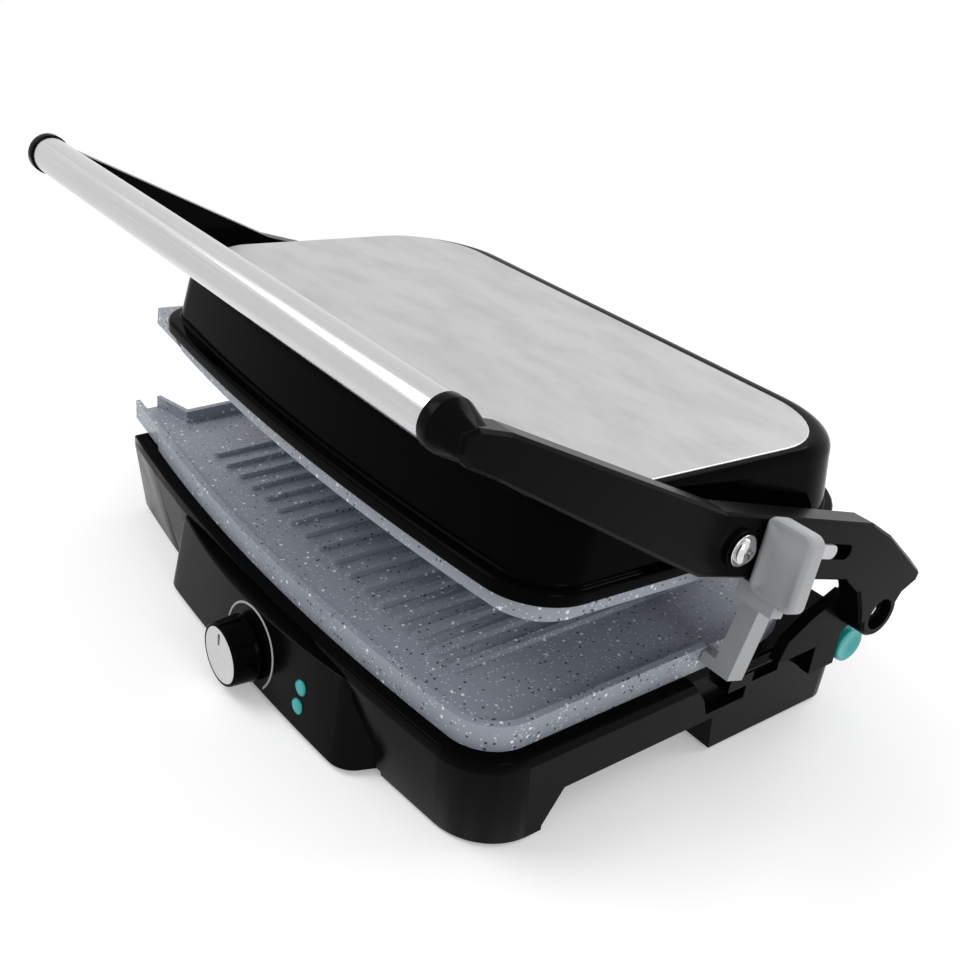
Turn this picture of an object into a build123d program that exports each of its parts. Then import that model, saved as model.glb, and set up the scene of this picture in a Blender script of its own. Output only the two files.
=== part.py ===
from build123d import *
import os
from math import atan2, cos, degrees, hypot, radians, sin, sqrt

os.makedirs("parts", exist_ok=True)

# An electric contact grill: a base and a floating lid, each with a coated plate, joined by two arms
# with a steel bar. Millimetres. X runs to the viewer's right, Y to the rear and Z up. The origin is
# the centre of the lower plate, on the surface that the grill stands on.

# Plates
plate_width = 300.0
plate_depth = 204.0
plate_bow = 10.5
plate_front_radius = 22.0
plate_rear_radius = 42.0
lower_rim_height = 12.0
upper_rim_height = 10.0
rim_wall = 3.2
plate_floor = 3.0
lower_dish_depth = 6.5
upper_dish_depth = 5.0
skirt_width = 6.0
plate_gap = 0.5
rib_count = 17
rib_pitch = 13.0
rib_width = 4.5
rib_height = 2.5
rib_margin = 27.0
spout_reach = 23.0
spout_width = 17.0
spout_wall = 2.5

# Base
base_height = 46.5
bezel_thickness = 6.0
bezel_overhang = 6.0
bezel_front_radius = 28.0
spout_corner_radius = 52.0
housing_rear_gap = 20.0
housing_rear_radius = 12.0
housing_side_draft = 1.6
housing_front_draft = 5.5
wall = 2.5
pad_height = 1.5
arch_height = 20.5
front_foot_length = 42.0
rear_foot_length = 83.0
foot_inner_x = plate_width / 2 - 54.0
belly_length = 22.0
belly_height = 3.5
screw_length = 6.0
cover_thickness = 2.0
cover_lap = 8.0

# Control panel, knob and lamps
panel_bottom = 2.0
panel_top = 40.4
panel_wall = 3.0
panel_half_width = 77.0
panel_foot_half_width = 91.0
panel_reach = 12.0
panel_foot_reach = 15.0
panel_bow = 8.0
panel_foot_bow = 3.5
panel_radius = 5.0
panel_foot_radius = 13.0
panel_flare = 18.0
panel_foot_flare = 4.0
knob_x = 10.8
knob_z = 19.0
knob_radius = 15.0
knob_base_radius = 16.2
knob_length = 13.2
knob_gap = 0.8
shaft_radius = 3.0
scale_radius = 20.3
scale_line = 1.0
scale_opening = 96.0
lamp_x = 52.4
lamp_upper_z = 22.6
lamp_lower_z = 13.2
lamp_radius = 3.75
lamp_stand = 1.1
lamp_depth = 4.5

# Hinge of the arms
hinge_gap = 8.6
hinge_height = 61.5
hinge_pin_radius = 5.0
hinge_head_radius = 6.6
hinge_bush_radius = 6.4
running_gap = 0.05
tower_radius = 11.0
tower_inner_x = plate_width / 2 + 7.4
tower_outer_x = plate_width / 2 + 12.8

# Arms and bar, in the closed pose: distance forward of the hinge and height above it
arm_inner_x = plate_width / 2 + 13.5
arm_thickness = 11.0
arm_chamfer = 1.2
knuckle_radius = 11.5
eye_radius = 7.75
eye_depth = 7.0
bar_forward = 278.7
bar_up = 59.0
bar_radius = 8.7
bar_wall = 1.0
socket_radius = 9.5
socket_end_length = 16.0
socket_end_height = 11.0
socket_end_round = 4.0
socket_end_turn = -14.8
socket_inner_x = plate_width / 2 + 9.5
socket_length = 4.5
socket_depth = 3.5
rod_radius = 4.0
pivot_forward = 127.8
pivot_up = 29.4
pivot_screw_radius = 3.0
pivot_bush_radius = 5.0
pivot_boss_radius = 8.0
pivot_boss_height = 1.5
pivot_head_radius = 5.2

# Pose of the photograph: how far the arms are raised and how far the lid is tipped
lift_angle = 18.3
lid_tilt = 4.0

# Lid
flange_overhang = 6.5
flange_thickness = 6.5
flange_rear_gap = 2.0
flange_rear_radius = 50.0
lid_wall_height = 24.5
lid_shoulder_height = 9.5
lid_wall = 2.5
lid_panel_half_width = plate_width / 2 - 3.0
lid_panel_front = 18.0
lid_panel_rear = 24.0
lid_panel_thickness = 0.8
lid_boss_radius = 9.0
lid_boss_inner_x = plate_width / 2 - 8.0

# Heat trays and elements
tray_inset = 9.0
tray_depth = 18.0
tray_wall = 0.8
flange_lap = 5.0
element_radius = 3.25
element_bend = 25.0
element_half_width = plate_width / 2 - 45.0
element_front = 36.0
element_rear = 34.0

# Latch, in the closed pose
slot_rear = 48.4
slot_front = 112.8
slot_height = 7.0
slot_up = 29.6
latch_travel = 12.0
latch_gap = 0.7
paddle_width = 21.5
paddle_depth = 9.0
paddle_front = 113.0
paddle_low = 12.0
paddle_high = 45.0
paddle_lean = 6.5
shank_front = 80.5
shank_depth = 10.5
shank_width = 9.0
toe_low = -36.0
toe_thickness = 5.0
toe_tip_x = plate_width / 2 + 0.6
toe_swing = 3.4
toe_drop = 6.0
latch_screw_pitch = 34.0

# Release button
button_radius = 9.0
button_stroke = 3.3
button_length = 10.0
button_back = 4.4
button_drop = 26.0
button_collar = 2.3

# Places that follow from the sizes
front_y = -plate_depth / 2
rear_y = plate_depth / 2
deck_z = base_height
seam_z = base_height - bezel_thickness
rim_top_z = base_height + lower_rim_height
lid_z = rim_top_z + plate_gap
base_half_width = plate_width / 2 + bezel_overhang
housing_rear_y = rear_y + housing_rear_gap
hinge_y = rear_y + hinge_gap
pivot_y = hinge_y - pivot_forward
pivot_z = hinge_height + pivot_up
arm_outer_x = arm_inner_x + arm_thickness
rib_length = plate_depth - 2 * rib_margin
lid_shoulder_z = lid_z + upper_rim_height + flange_thickness + lid_wall_height
lid_top_z = lid_shoulder_z + lid_shoulder_height
flange_top_z = lid_z + upper_rim_height + flange_thickness
button_y = hinge_y + button_back
button_z = hinge_height - button_drop
button_inner_x = tower_outer_x - button_length

# Moves from the closed pose to the pose of the photograph
handle_move = Pos(0, hinge_y, hinge_height) * Rot(-lift_angle, 0, 0) * Pos(0, -hinge_y, -hinge_height)
pivot_reach = hypot(pivot_forward, pivot_up)
pivot_angle = degrees(atan2(pivot_up, pivot_forward)) + lift_angle
raised_pivot_y = hinge_y - pivot_reach * cos(radians(pivot_angle))
raised_pivot_z = hinge_height + pivot_reach * sin(radians(pivot_angle))
lid_move = Pos(0, raised_pivot_y, raised_pivot_z) * Rot(-lid_tilt, 0, 0) * Pos(0, -pivot_y, -pivot_z)


def finish(builder, name, move=None):
    """names a finished piece, moves it from the closed pose if asked and writes it"""
    if move is not None:
        builder.part = Part(builder.part.moved(move).wrapped)
    builder.part.label = name
    export_step(builder.part, f"parts/{name}.step")


def plan_outline(half_width, front, rear, front_radius, rear_radius, left_radius=None):
    """closed plan outline with a bowed front edge and rounded corners"""
    with BuildSketch() as plan:
        with BuildLine():
            ThreePointArc((-half_width, front + plate_bow), (0, front), (half_width, front + plate_bow))
            Polyline(
                (half_width, front + plate_bow),
                (half_width, rear),
                (-half_width, rear),
                (-half_width, front + plate_bow),
            )
        make_face()
        fillet(plan.vertices().group_by(Axis.Y)[-1], rear_radius)
        left_corner, right_corner = plan.vertices().group_by(Axis.Y)[0].sort_by(Axis.X)
        fillet(right_corner, front_radius)
        fillet(left_corner, left_radius or front_radius)
    return plan.sketch


def plate_outline(grow=0.0):
    """outline of the plates, grown or shrunk by a margin"""
    return plan_outline(
        plate_width / 2 + grow,
        front_y - grow,
        rear_y + grow,
        plate_front_radius + grow,
        plate_rear_radius + grow,
    )


def housing_outline(height, inset=0.0, left_radius=spout_corner_radius):
    """outline of the drafted base housing at a height, shrunk by an inset"""
    low = 1 - height / seam_z
    return plan_outline(
        base_half_width - housing_side_draft * low - inset,
        front_y - bezel_overhang + housing_front_draft * low + inset,
        housing_rear_y - inset,
        bezel_front_radius - inset,
        housing_rear_radius - inset / 2,
        left_radius - inset,
    )


def side_point(forward, up):
    """point of a side view, from its distance forward of the hinge and its height above it"""
    return (hinge_y - forward, hinge_height + up)


def side_plane(x):
    """plane of the side view at x, with Y across and Z up"""
    return Plane.YZ.offset(x)


def front_plane(y):
    """plane facing the front at y, with X across and Z up"""
    return Plane.XZ.offset(-y)


def panel_value(foot, top, height):
    """size of the control panel at a height, between its foot and its top"""
    return foot + (top - foot) * (height - panel_bottom) / (panel_top - panel_bottom)


def panel_outline(height, grow):
    """plan outline of the control panel at a height, grown or shrunk by a margin"""
    half = panel_value(panel_foot_half_width, panel_half_width, height) + grow
    front = front_y - panel_value(panel_foot_reach, panel_reach, height) - grow
    bow = panel_value(panel_foot_bow, panel_bow, height)
    flare = panel_value(panel_foot_flare, panel_flare, height)
    back = front_y + panel_reach
    with BuildSketch() as plan:
        with BuildLine():
            ThreePointArc((-half, front + bow), (0, front), (half, front + bow))
            Polyline(
                (half, front + bow),
                (half + flare, back),
                (-half - flare, back),
                (-half, front + bow),
            )
        make_face()
        fillet(plan.vertices().group_by(Axis.Y)[0], panel_value(panel_foot_radius, panel_radius, height) + grow)
    return plan.sketch


def panel_mass(grow, low, high):
    """body of the control panel between two heights, grown or shrunk by a margin"""
    with BuildPart() as mass:
        for height in (low, high):
            with BuildSketch(Plane.XY.offset(height)):
                add(panel_outline(height, grow))
        loft(ruled=True)
    return mass.part


def panel_face_y(x, height):
    """y of the bowed front of the control panel at x and a height"""
    half = panel_value(panel_foot_half_width, panel_half_width, height)
    bow = panel_value(panel_foot_bow, panel_bow, height)
    radius = (half**2 + bow**2) / (2 * bow)
    front = front_y - panel_value(panel_foot_reach, panel_reach, height)
    return front + radius - sqrt(radius**2 - x**2)


def spout_points(inset, reach):
    """plan corners of the grease spout at the front left of a plate"""
    tip_x = -plate_width / 2 - reach
    root_x = -plate_width / 2 + plate_front_radius
    near = front_y + plate_bow + inset
    far = near + spout_width - 2 * inset
    return [
        (root_x, near - 2.0),
        (tip_x, near + 2.5),
        (tip_x, far + 0.5),
        (-plate_width / 2 + rim_wall + inset, far + 7.0),
        (root_x, far + 7.0),
    ]


def tray(low, high, floor_at_low):
    """heat tray with a flange that lies under the plate's rim"""
    pan_height = high - low
    with BuildPart() as pan:
        with BuildSketch(Plane.XY.offset(low)):
            add(plate_outline(-tray_inset))
        extrude(amount=pan_height)
        with BuildSketch(Plane.XY.offset(high if floor_at_low else low)):
            add(plate_outline(-tray_inset - tray_wall))
        depth = pan_height - tray_wall
        extrude(amount=-depth if floor_at_low else depth, mode=Mode.SUBTRACT)
        flange_z = high - tray_wall if floor_at_low else low
        with BuildSketch(Plane.XY.offset(flange_z)):
            add(plate_outline(-flange_lap - 0.3))
            add(plate_outline(-tray_inset - tray_wall / 2), mode=Mode.SUBTRACT)
        extrude(amount=tray_wall)
    return pan.part


def element(height, drop):
    """tubular heating element: one loop in plan with both ends turned through the tray"""
    end_x = 20.0
    rear = rear_y - element_rear
    front = front_y + element_front
    route = [
        (end_x, rear, height + drop),
        (end_x, rear, height),
        (element_half_width, rear, height),
        (element_half_width, front, height),
        (-element_half_width, front, height),
        (-element_half_width, rear, height),
        (-end_x, rear, height),
        (-end_x, rear, height + drop),
    ]
    bends = [10, element_bend, element_bend, element_bend, element_bend, 10]
    with BuildPart() as tube:
        with BuildLine():
            FilletPolyline(*route, radius=bends)
        with BuildSketch(Plane(origin=route[0], z_dir=(0, 0, -drop))):
            Circle(element_radius)
        sweep()
    return tube.part


def arches(grow):
    """spaces under the base between the feet, grown by a wall"""
    foot_front = front_y + front_foot_length
    foot_rear = housing_rear_y - rear_foot_length
    with BuildPart() as space:
        with BuildSketch(side_plane(0)):
            with BuildLine():
                Polyline(
                    (foot_front - grow, -5),
                    (foot_front - grow, 4),
                    (foot_front + 9 - grow / 2, arch_height + grow),
                    (foot_rear - 4 + grow / 2, arch_height + grow),
                    (foot_rear + grow, -5),
                    close=True,
                )
            make_face()
        extrude(amount=base_half_width + 5, both=True)
        with BuildSketch(Plane.XY.offset(-5)):
            with Locations((0, front_y + belly_length - grow)):
                Rectangle(2 * (foot_inner_x + grow), plate_depth * 2, align=(Align.CENTER, Align.MIN))
        extrude(amount=arch_height + grow + 5)
        with BuildSketch(Plane.XY.offset(-5)):
            Rectangle(2 * (foot_inner_x + grow), 2 * plate_depth)
        extrude(amount=belly_height + grow + 5)
    return space.part


def housing_taper(inset, low, high):
    """drafted body of the housing between two heights, shrunk by an inset"""
    with BuildPart() as taper:
        for height in (low, high):
            with BuildSketch(Plane.XY.offset(height)):
                add(housing_outline(height, inset))
        loft()
    return taper.part


def housing_mass(inset, low, high):
    """drafted body of the housing with the spaces between the feet taken out"""
    with BuildPart() as mass:
        add(housing_taper(inset, low, high))
        add(arches(inset), mode=Mode.SUBTRACT)
    return mass.part


def latch_notch():
    """recess that takes the toe of the latch: a ramped entry from above and a run to the rear"""
    entry_front = hinge_y - shank_front - latch_gap
    entry_rear = hinge_y - shank_front + shank_depth + latch_gap
    run_rear = entry_rear + latch_travel
    floor_z = hinge_height + toe_low - 1.0
    ledge_z = hinge_height + toe_low + toe_thickness + 0.8
    with BuildPart() as notch:
        with BuildSketch(side_plane(toe_tip_x - latch_gap)):
            with BuildLine():
                Polyline(
                    (entry_front, floor_z),
                    (run_rear, floor_z),
                    (run_rear, ledge_z),
                    (entry_rear, ledge_z),
                    (entry_rear, seam_z),
                    (entry_rear + toe_drop, deck_z + 1),
                    (entry_front - 14, deck_z + 1),
                    (entry_front - toe_swing, ledge_z + 2),
                    close=True,
                )
            make_face()
        extrude(amount=base_half_width + 2 - toe_tip_x)
        with BuildSketch(side_plane(base_half_width - 3.5)):
            with BuildLine():
                Polyline(
                    (run_rear + 3, ledge_z + 1),
                    (run_rear + 20, ledge_z + 1),
                    (run_rear + 20, seam_z - 1),
                    (entry_rear + 8, seam_z - 1),
                    (entry_rear + 8, ledge_z + 7),
                    (run_rear + 3, ledge_z + 7),
                    close=True,
                )
            make_face()
        extrude(amount=6)
    return notch.part


def button_bore():
    """bore that guides the release button"""
    with BuildPart() as bore:
        with BuildSketch(side_plane(button_inner_x - button_stroke - 1)):
            with Locations((button_y, button_z)):
                Circle(button_radius + running_gap)
        extrude(amount=30)
    return bore.part


# Lower plate: rim, dish with ribs, hollow underside and a grease spout
lower_floor_z = rim_top_z - lower_dish_depth
with BuildPart() as lower_plate:
    with BuildSketch(Plane.XY.offset(deck_z)):
        add(plate_outline())
    extrude(amount=lower_rim_height)
    with BuildSketch(Plane.XY.offset(deck_z + 1.0)):
        with BuildLine():
            Polyline(*spout_points(0, spout_reach), close=True)
        make_face()
    extrude(amount=lower_rim_height - 1.0)
    with BuildSketch(Plane.XY.offset(rim_top_z)):
        add(plate_outline(-rim_wall))
    extrude(amount=-lower_dish_depth, mode=Mode.SUBTRACT)
    with BuildSketch(Plane.XY.offset(rim_top_z)):
        with BuildLine():
            Polyline(*spout_points(spout_wall, spout_reach + 1), close=True)
        make_face()
    extrude(amount=-lower_dish_depth, mode=Mode.SUBTRACT)
    with BuildSketch(Plane.XY.offset(deck_z)):
        add(plate_outline(-skirt_width))
    extrude(amount=lower_floor_z - plate_floor - deck_z, mode=Mode.SUBTRACT)
    with BuildSketch(Plane.XY.offset(lower_floor_z)):
        with GridLocations(rib_pitch, 0, rib_count, 1):
            Rectangle(rib_width, rib_length)
    extrude(amount=rib_height, taper=12)
finish(lower_plate, "lower_plate")

# Lower heat tray and element
lower_tray_low = deck_z - tray_depth
with BuildPart() as lower_reflector:
    add(tray(lower_tray_low, deck_z, True))
    with BuildSketch(Plane.XY.offset(lower_tray_low)):
        with Locations((20, rear_y - element_rear), (-20, rear_y - element_rear)):
            Circle(element_radius + 0.5)
    extrude(amount=tray_wall, mode=Mode.SUBTRACT)
finish(lower_reflector, "lower_reflector")

with BuildPart() as lower_element:
    add(element(lower_floor_z - plate_floor - element_radius - 0.2, -20))
finish(lower_element, "lower_element")

# Thermal fuse on the underside of the tray
fuse_x = -plate_width / 4
with BuildPart() as thermal_fuse:
    with BuildSketch(side_plane(fuse_x)):
        with Locations((rear_y - 40, lower_tray_low - 2.5)):
            Circle(2.5)
    extrude(amount=18)
    with BuildSketch(side_plane(fuse_x - 5)):
        with Locations((rear_y - 40, lower_tray_low - 2.5)):
            Circle(0.6)
    extrude(amount=28)
finish(thermal_fuse, "thermal_fuse")

# Bezel: deck that frames the lower plate
with BuildPart() as base_bezel:
    with BuildSketch(Plane.XY.offset(seam_z)):
        add(housing_outline(seam_z, 0, bezel_front_radius))
    extrude(amount=bezel_thickness)
    chamfer(base_bezel.edges().group_by(Axis.Z)[-1], 0.8)
    with BuildSketch(Plane.XY.offset(seam_z)):
        add(plate_outline(-tray_inset + 1))
    extrude(amount=bezel_thickness, mode=Mode.SUBTRACT)
    with BuildSketch(Plane.XY.offset(deck_z - tray_wall)):
        add(plate_outline(-flange_lap))
    extrude(amount=tray_wall, mode=Mode.SUBTRACT)
    add(latch_notch(), mode=Mode.SUBTRACT)
    with BuildSketch(side_plane(button_inner_x - button_stroke - 4)):
        with Locations((button_y, button_z)):
            Circle(button_radius + button_collar)
    extrude(amount=30, mode=Mode.SUBTRACT)
finish(base_bezel, "base_bezel")


def tower_root(side):
    """block that seats a hinge tower in the wall of the housing"""
    with BuildPart() as root:
        with BuildSketch(side_plane(side * (base_half_width - wall))):
            with Locations(side_point(15, -27)):
                Rectangle(17, 9)
        extrude(amount=side * (tower_inner_x - base_half_width + wall))
    return root.part


# Base housing: tub with feet, keeper block for the latch, openings and hinge towers
gland_x = -100.0
gland_z = 31.0
cover_half_width = foot_inner_x - cover_lap
cover_front = front_y + belly_length + 6.0
cover_rear = housing_rear_y - 12.0
cover_middle = (cover_front + cover_rear) / 2
cover_length = cover_rear - cover_front
screw_x = cover_half_width - cover_lap / 2
screw_y = cover_length / 2 - cover_lap / 2
with BuildPart() as cavity:
    add(housing_mass(wall, wall + pad_height, seam_z + 1))
    with BuildSketch(side_plane(toe_tip_x - latch_gap - wall)):
        with Locations((hinge_y - 57, arch_height + 12)):
            Rectangle(64, 45)
    extrude(amount=20, mode=Mode.SUBTRACT)
    with BuildSketch(Plane.XY.offset(arch_height)):
        with Locations((0, cover_middle)):
            with GridLocations(2 * screw_x, 2 * screw_y, 2, 2):
                Circle(4)
    extrude(amount=screw_length + 1, mode=Mode.SUBTRACT)
with BuildPart() as base_housing:
    add(housing_mass(0, pad_height, seam_z))
    add(cavity.part, mode=Mode.SUBTRACT)
    with BuildSketch(Plane.XY.offset(arch_height)):
        with Locations((0, cover_middle)):
            Rectangle(2 * (cover_half_width - cover_lap), cover_length - 2 * cover_lap)
    extrude(amount=wall, mode=Mode.SUBTRACT)
    with BuildSketch(Plane.XY.offset(arch_height)):
        with Locations((0, cover_middle)):
            with GridLocations(2 * screw_x, 2 * screw_y, 2, 2):
                Circle(1.5)
    extrude(amount=screw_length, mode=Mode.SUBTRACT)
    with BuildSketch(front_plane(front_y + 8)):
        with Locations((0, panel_bottom + panel_wall + 3)):
            Rectangle(2 * panel_half_width - 12, 28, align=(Align.CENTER, Align.MIN))
    extrude(amount=20, mode=Mode.SUBTRACT)
    with BuildSketch(front_plane(housing_rear_y + 1)):
        with Locations((gland_x, gland_z)):
            Circle(6.5)
    extrude(amount=wall + 2, mode=Mode.SUBTRACT)
    with BuildSketch(side_plane(button_inner_x - button_stroke - 4)):
        with Locations((button_y, button_z)):
            Circle(button_radius + button_collar)
    extrude(amount=base_half_width + 0.8 - button_inner_x + button_stroke + 4)
    for side in (1, -1):
        add(tower_root(side), mode=Mode.SUBTRACT)
    add(button_bore(), mode=Mode.SUBTRACT)
    add(latch_notch(), mode=Mode.SUBTRACT)
finish(base_housing, "base_housing")

# Hinge towers: brackets seated in the side walls, with bores for the hinge bushes
with BuildPart() as hinge_towers:
    for side in (1, -1):
        with BuildSketch(side_plane(side * tower_inner_x)):
            with BuildLine():
                Polyline(
                    side_point(23.5, -32),
                    side_point(6.5, -32),
                    side_point(6.5, -15),
                    side_point(0, -tower_radius + 0.3),
                    side_point(tower_radius - 0.2, 0),
                    side_point(17, -12),
                    side_point(23.5, -18),
                    close=True,
                )
            make_face()
            with Locations(side_point(0, 0)):
                Circle(tower_radius)
        extrude(amount=side * (tower_outer_x - tower_inner_x))
        add(tower_root(side))
        with BuildSketch(side_plane(side * tower_inner_x)):
            with Locations(side_point(0, 0)):
                Circle(hinge_bush_radius)
        extrude(amount=side * (tower_outer_x - tower_inner_x), mode=Mode.SUBTRACT)
finish(hinge_towers, "hinge_towers")

# Bottom cover with vent slots, its screws and the rubber pads
with BuildPart() as base_cover:
    with BuildSketch(Plane.XY.offset(arch_height - cover_thickness)):
        with Locations((0, cover_middle)):
            RectangleRounded(2 * cover_half_width, cover_length, 8)
            with GridLocations(14, 0, 7, 1):
                SlotOverall(60, 4, rotation=90, mode=Mode.SUBTRACT)
            with GridLocations(2 * screw_x, 2 * screw_y, 2, 2):
                Circle(1.8, mode=Mode.SUBTRACT)
    extrude(amount=cover_thickness)
finish(base_cover, "base_cover")

with BuildPart() as cover_screws:
    with BuildSketch(Plane.XY.offset(arch_height - cover_thickness)):
        with Locations((0, cover_middle)):
            with GridLocations(2 * screw_x, 2 * screw_y, 2, 2):
                Circle(1.5)
    extrude(amount=cover_thickness + screw_length)
    with BuildSketch(Plane.XY.offset(arch_height - cover_thickness)):
        with Locations((0, cover_middle)):
            with GridLocations(2 * screw_x, 2 * screw_y, 2, 2):
                Circle(3.2)
    extrude(amount=-1.8)
finish(cover_screws, "cover_screws")

pad_x = (foot_inner_x + base_half_width) / 2
front_pad_y = front_y + 27.0
rear_pad_y = housing_rear_y - rear_foot_length / 2
with BuildPart() as foot_pads:
    with BuildSketch():
        for side in (1, -1):
            with Locations((side * pad_x, front_pad_y)):
                RectangleRounded(30, 14, 5)
            with Locations((side * pad_x, rear_pad_y)):
                RectangleRounded(30, 30, 5)
    extrude(amount=pad_height)
finish(foot_pads, "foot_pads")

# Control panel: hollow moulding on the front of the housing
with BuildPart() as control_panel:
    add(panel_mass(0, panel_bottom, panel_top))
    add(panel_mass(-panel_wall, panel_bottom + panel_wall, panel_top - panel_wall), mode=Mode.SUBTRACT)
    with BuildSketch(front_plane(front_y + 3)):
        with Locations((knob_x, knob_z)):
            Circle(shaft_radius + 2)
        with Locations((lamp_x, lamp_upper_z), (lamp_x, lamp_lower_z)):
            Circle(lamp_radius)
    extrude(amount=20, mode=Mode.SUBTRACT)
    add(housing_taper(0, 0, seam_z), mode=Mode.SUBTRACT)
finish(control_panel, "control_panel")

# Printed arc round the knob, raised a little over the bowed face
with BuildPart() as scale_ring:
    add(panel_mass(0.25, panel_bottom, panel_top))
    add(panel_mass(0, panel_bottom, panel_top), mode=Mode.SUBTRACT)
    with BuildSketch(front_plane(front_y)):
        with Locations((knob_x, knob_z)):
            Circle(scale_radius + scale_line / 2)
            Circle(scale_radius - scale_line / 2, mode=Mode.SUBTRACT)
        with Locations((knob_x, knob_z - scale_radius)):
            Rectangle(2 * scale_radius * sin(radians(scale_opening / 2)), 20, mode=Mode.SUBTRACT)
    extrude(amount=30, mode=Mode.INTERSECT)
finish(scale_ring, "scale_ring")


board_y = panel_face_y(lamp_x, lamp_upper_z) + lamp_depth


def lens(height):
    """domed lamp lens in the control panel"""
    with BuildPart() as dome:
        with BuildSketch(front_plane(board_y)):
            with Locations((lamp_x, height)):
                Circle(lamp_radius)
        extrude(amount=board_y - panel_face_y(lamp_x, height) + lamp_stand)
        fillet(dome.edges().group_by(Axis.Y)[0], 0.9)
    return dome.part


with BuildPart() as power_lens:
    add(lens(lamp_upper_z))
finish(power_lens, "power_lens")

with BuildPart() as ready_lens:
    add(lens(lamp_lower_z))
finish(ready_lens, "ready_lens")

with BuildPart() as lamp_board:
    with BuildSketch(front_plane(board_y + 1.6)):
        with Locations((lamp_x, (lamp_upper_z + lamp_lower_z) / 2)):
            Rectangle(14, 16)
    extrude(amount=1.6)
finish(lamp_board, "lamp_board")

# Thermostat behind the panel and its shaft, knob and knob cap
panel_knob_y = panel_face_y(knob_x, knob_z)
knob_back_y = panel_face_y(0, knob_z - knob_base_radius) - knob_gap
knob_face_y = knob_back_y - knob_length
thermostat_front_y = panel_knob_y + panel_wall + 1.4
with BuildPart() as thermostat:
    with BuildSketch(front_plane(thermostat_front_y + 12)):
        with Locations((knob_x, knob_z)):
            RectangleRounded(28, 18, 3)
    extrude(amount=12)
    with BuildSketch(front_plane(thermostat_front_y)):
        with Locations((knob_x, knob_z)):
            Circle(shaft_radius + 1.8)
    extrude(amount=panel_wall)
    with BuildSketch(front_plane(thermostat_front_y + 8)):
        with Locations((knob_x, knob_z)):
            Circle(shaft_radius + running_gap)
    extrude(amount=20, mode=Mode.SUBTRACT)
finish(thermostat, "thermostat")

with BuildPart() as thermostat_shaft:
    with BuildSketch(front_plane(thermostat_front_y + 7.5)):
        with Locations((knob_x, knob_z)):
            Circle(shaft_radius)
    extrude(amount=thermostat_front_y + 7.5 - knob_face_y - 4)
finish(thermostat_shaft, "thermostat_shaft")

with BuildPart() as temperature_knob:
    with BuildSketch(front_plane(knob_back_y)):
        with Locations((knob_x, knob_z)):
            Circle(knob_base_radius)
    with BuildSketch(front_plane(knob_face_y)):
        with Locations((knob_x, knob_z)):
            Circle(knob_radius)
    loft()
    chamfer(temperature_knob.edges().group_by(Axis.Y)[0], 0.8)
    with BuildSketch(front_plane(knob_face_y)):
        with Locations((knob_x, knob_z)):
            Circle(knob_radius - 1.3)
    extrude(amount=-0.8, mode=Mode.SUBTRACT)
    with BuildSketch(front_plane(knob_back_y)):
        with Locations((knob_x, knob_z)):
            Circle(knob_base_radius - 2.2)
            Circle(shaft_radius + 3, mode=Mode.SUBTRACT)
    extrude(amount=knob_length - 5, mode=Mode.SUBTRACT)
    with BuildSketch(front_plane(knob_back_y)):
        with Locations((knob_x, knob_z)):
            Circle(shaft_radius)
    extrude(amount=knob_length - 4, mode=Mode.SUBTRACT)
finish(temperature_knob, "temperature_knob")

with BuildPart() as knob_cap:
    with BuildSketch(front_plane(knob_face_y + 0.8)):
        with Locations((knob_x, knob_z)):
            Circle(knob_radius - 1.3)
    extrude(amount=1.2)
    fillet(knob_cap.edges().group_by(Axis.Y)[0], 0.35)
    with BuildSketch(front_plane(knob_face_y - 0.4)):
        with Locations((knob_x, knob_z + knob_radius * 0.55)):
            SlotOverall(6.5, 1.2, rotation=90)
    extrude(amount=-0.3, mode=Mode.SUBTRACT)
finish(knob_cap, "knob_cap")

# Mains inlet at the rear: gland in the wall and terminal block behind it
with BuildPart() as cord_gland:
    with BuildSketch(front_plane(housing_rear_y + 3)):
        with Locations((gland_x, gland_z)):
            Circle(8.5)
    extrude(amount=3)
    with BuildSketch(front_plane(housing_rear_y)):
        with Locations((gland_x, gland_z)):
            Circle(6.5)
    extrude(amount=wall + 4)
    with BuildSketch(front_plane(housing_rear_y + 3)):
        with Locations((gland_x, gland_z)):
            Circle(3.2)
    extrude(amount=wall + 7, mode=Mode.SUBTRACT)
finish(cord_gland, "cord_gland")

with BuildPart() as terminal_block:
    with BuildSketch(Plane.XY.offset(arch_height + wall)):
        with Locations((-58, housing_rear_y - 18)):
            Rectangle(26, 12)
    extrude(amount=5.5)
finish(terminal_block, "terminal_block")

# Release button with its stem, and the spring that returns it
with BuildPart() as release_button:
    with BuildSketch(side_plane(button_inner_x)):
        with Locations((button_y, button_z)):
            Circle(button_radius)
    extrude(amount=button_length)
    fillet(release_button.edges().group_by(Axis.X)[-1], 1.0)
    with BuildSketch(side_plane(button_inner_x)):
        with Locations((button_y, button_z)):
            Circle(button_radius - 1.8)
            Circle(3, mode=Mode.SUBTRACT)
    extrude(amount=button_length - 3, mode=Mode.SUBTRACT)
finish(release_button, "release_button")

with BuildPart() as release_spring:
    with BuildSketch(side_plane(button_inner_x - button_stroke - 1)):
        with Locations((button_y, button_z)):
            Circle(5.2)
            Circle(4.0, mode=Mode.SUBTRACT)
    extrude(amount=button_length - 3 + button_stroke + 1)
finish(release_spring, "release_spring")

# Hinge: bushes in the towers, pins through bushes and arms, clips on the inner ends
pin_inner_x = tower_inner_x - 3.4
eye_floor_x = arm_outer_x - eye_depth
with BuildPart() as hinge_bushes:
    for side in (1, -1):
        with BuildSketch(side_plane(side * tower_inner_x)):
            with Locations(side_point(0, 0)):
                Circle(hinge_bush_radius)
                Circle(hinge_pin_radius + running_gap, mode=Mode.SUBTRACT)
        extrude(amount=side * (tower_outer_x - tower_inner_x))
finish(hinge_bushes, "hinge_bushes")

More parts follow.
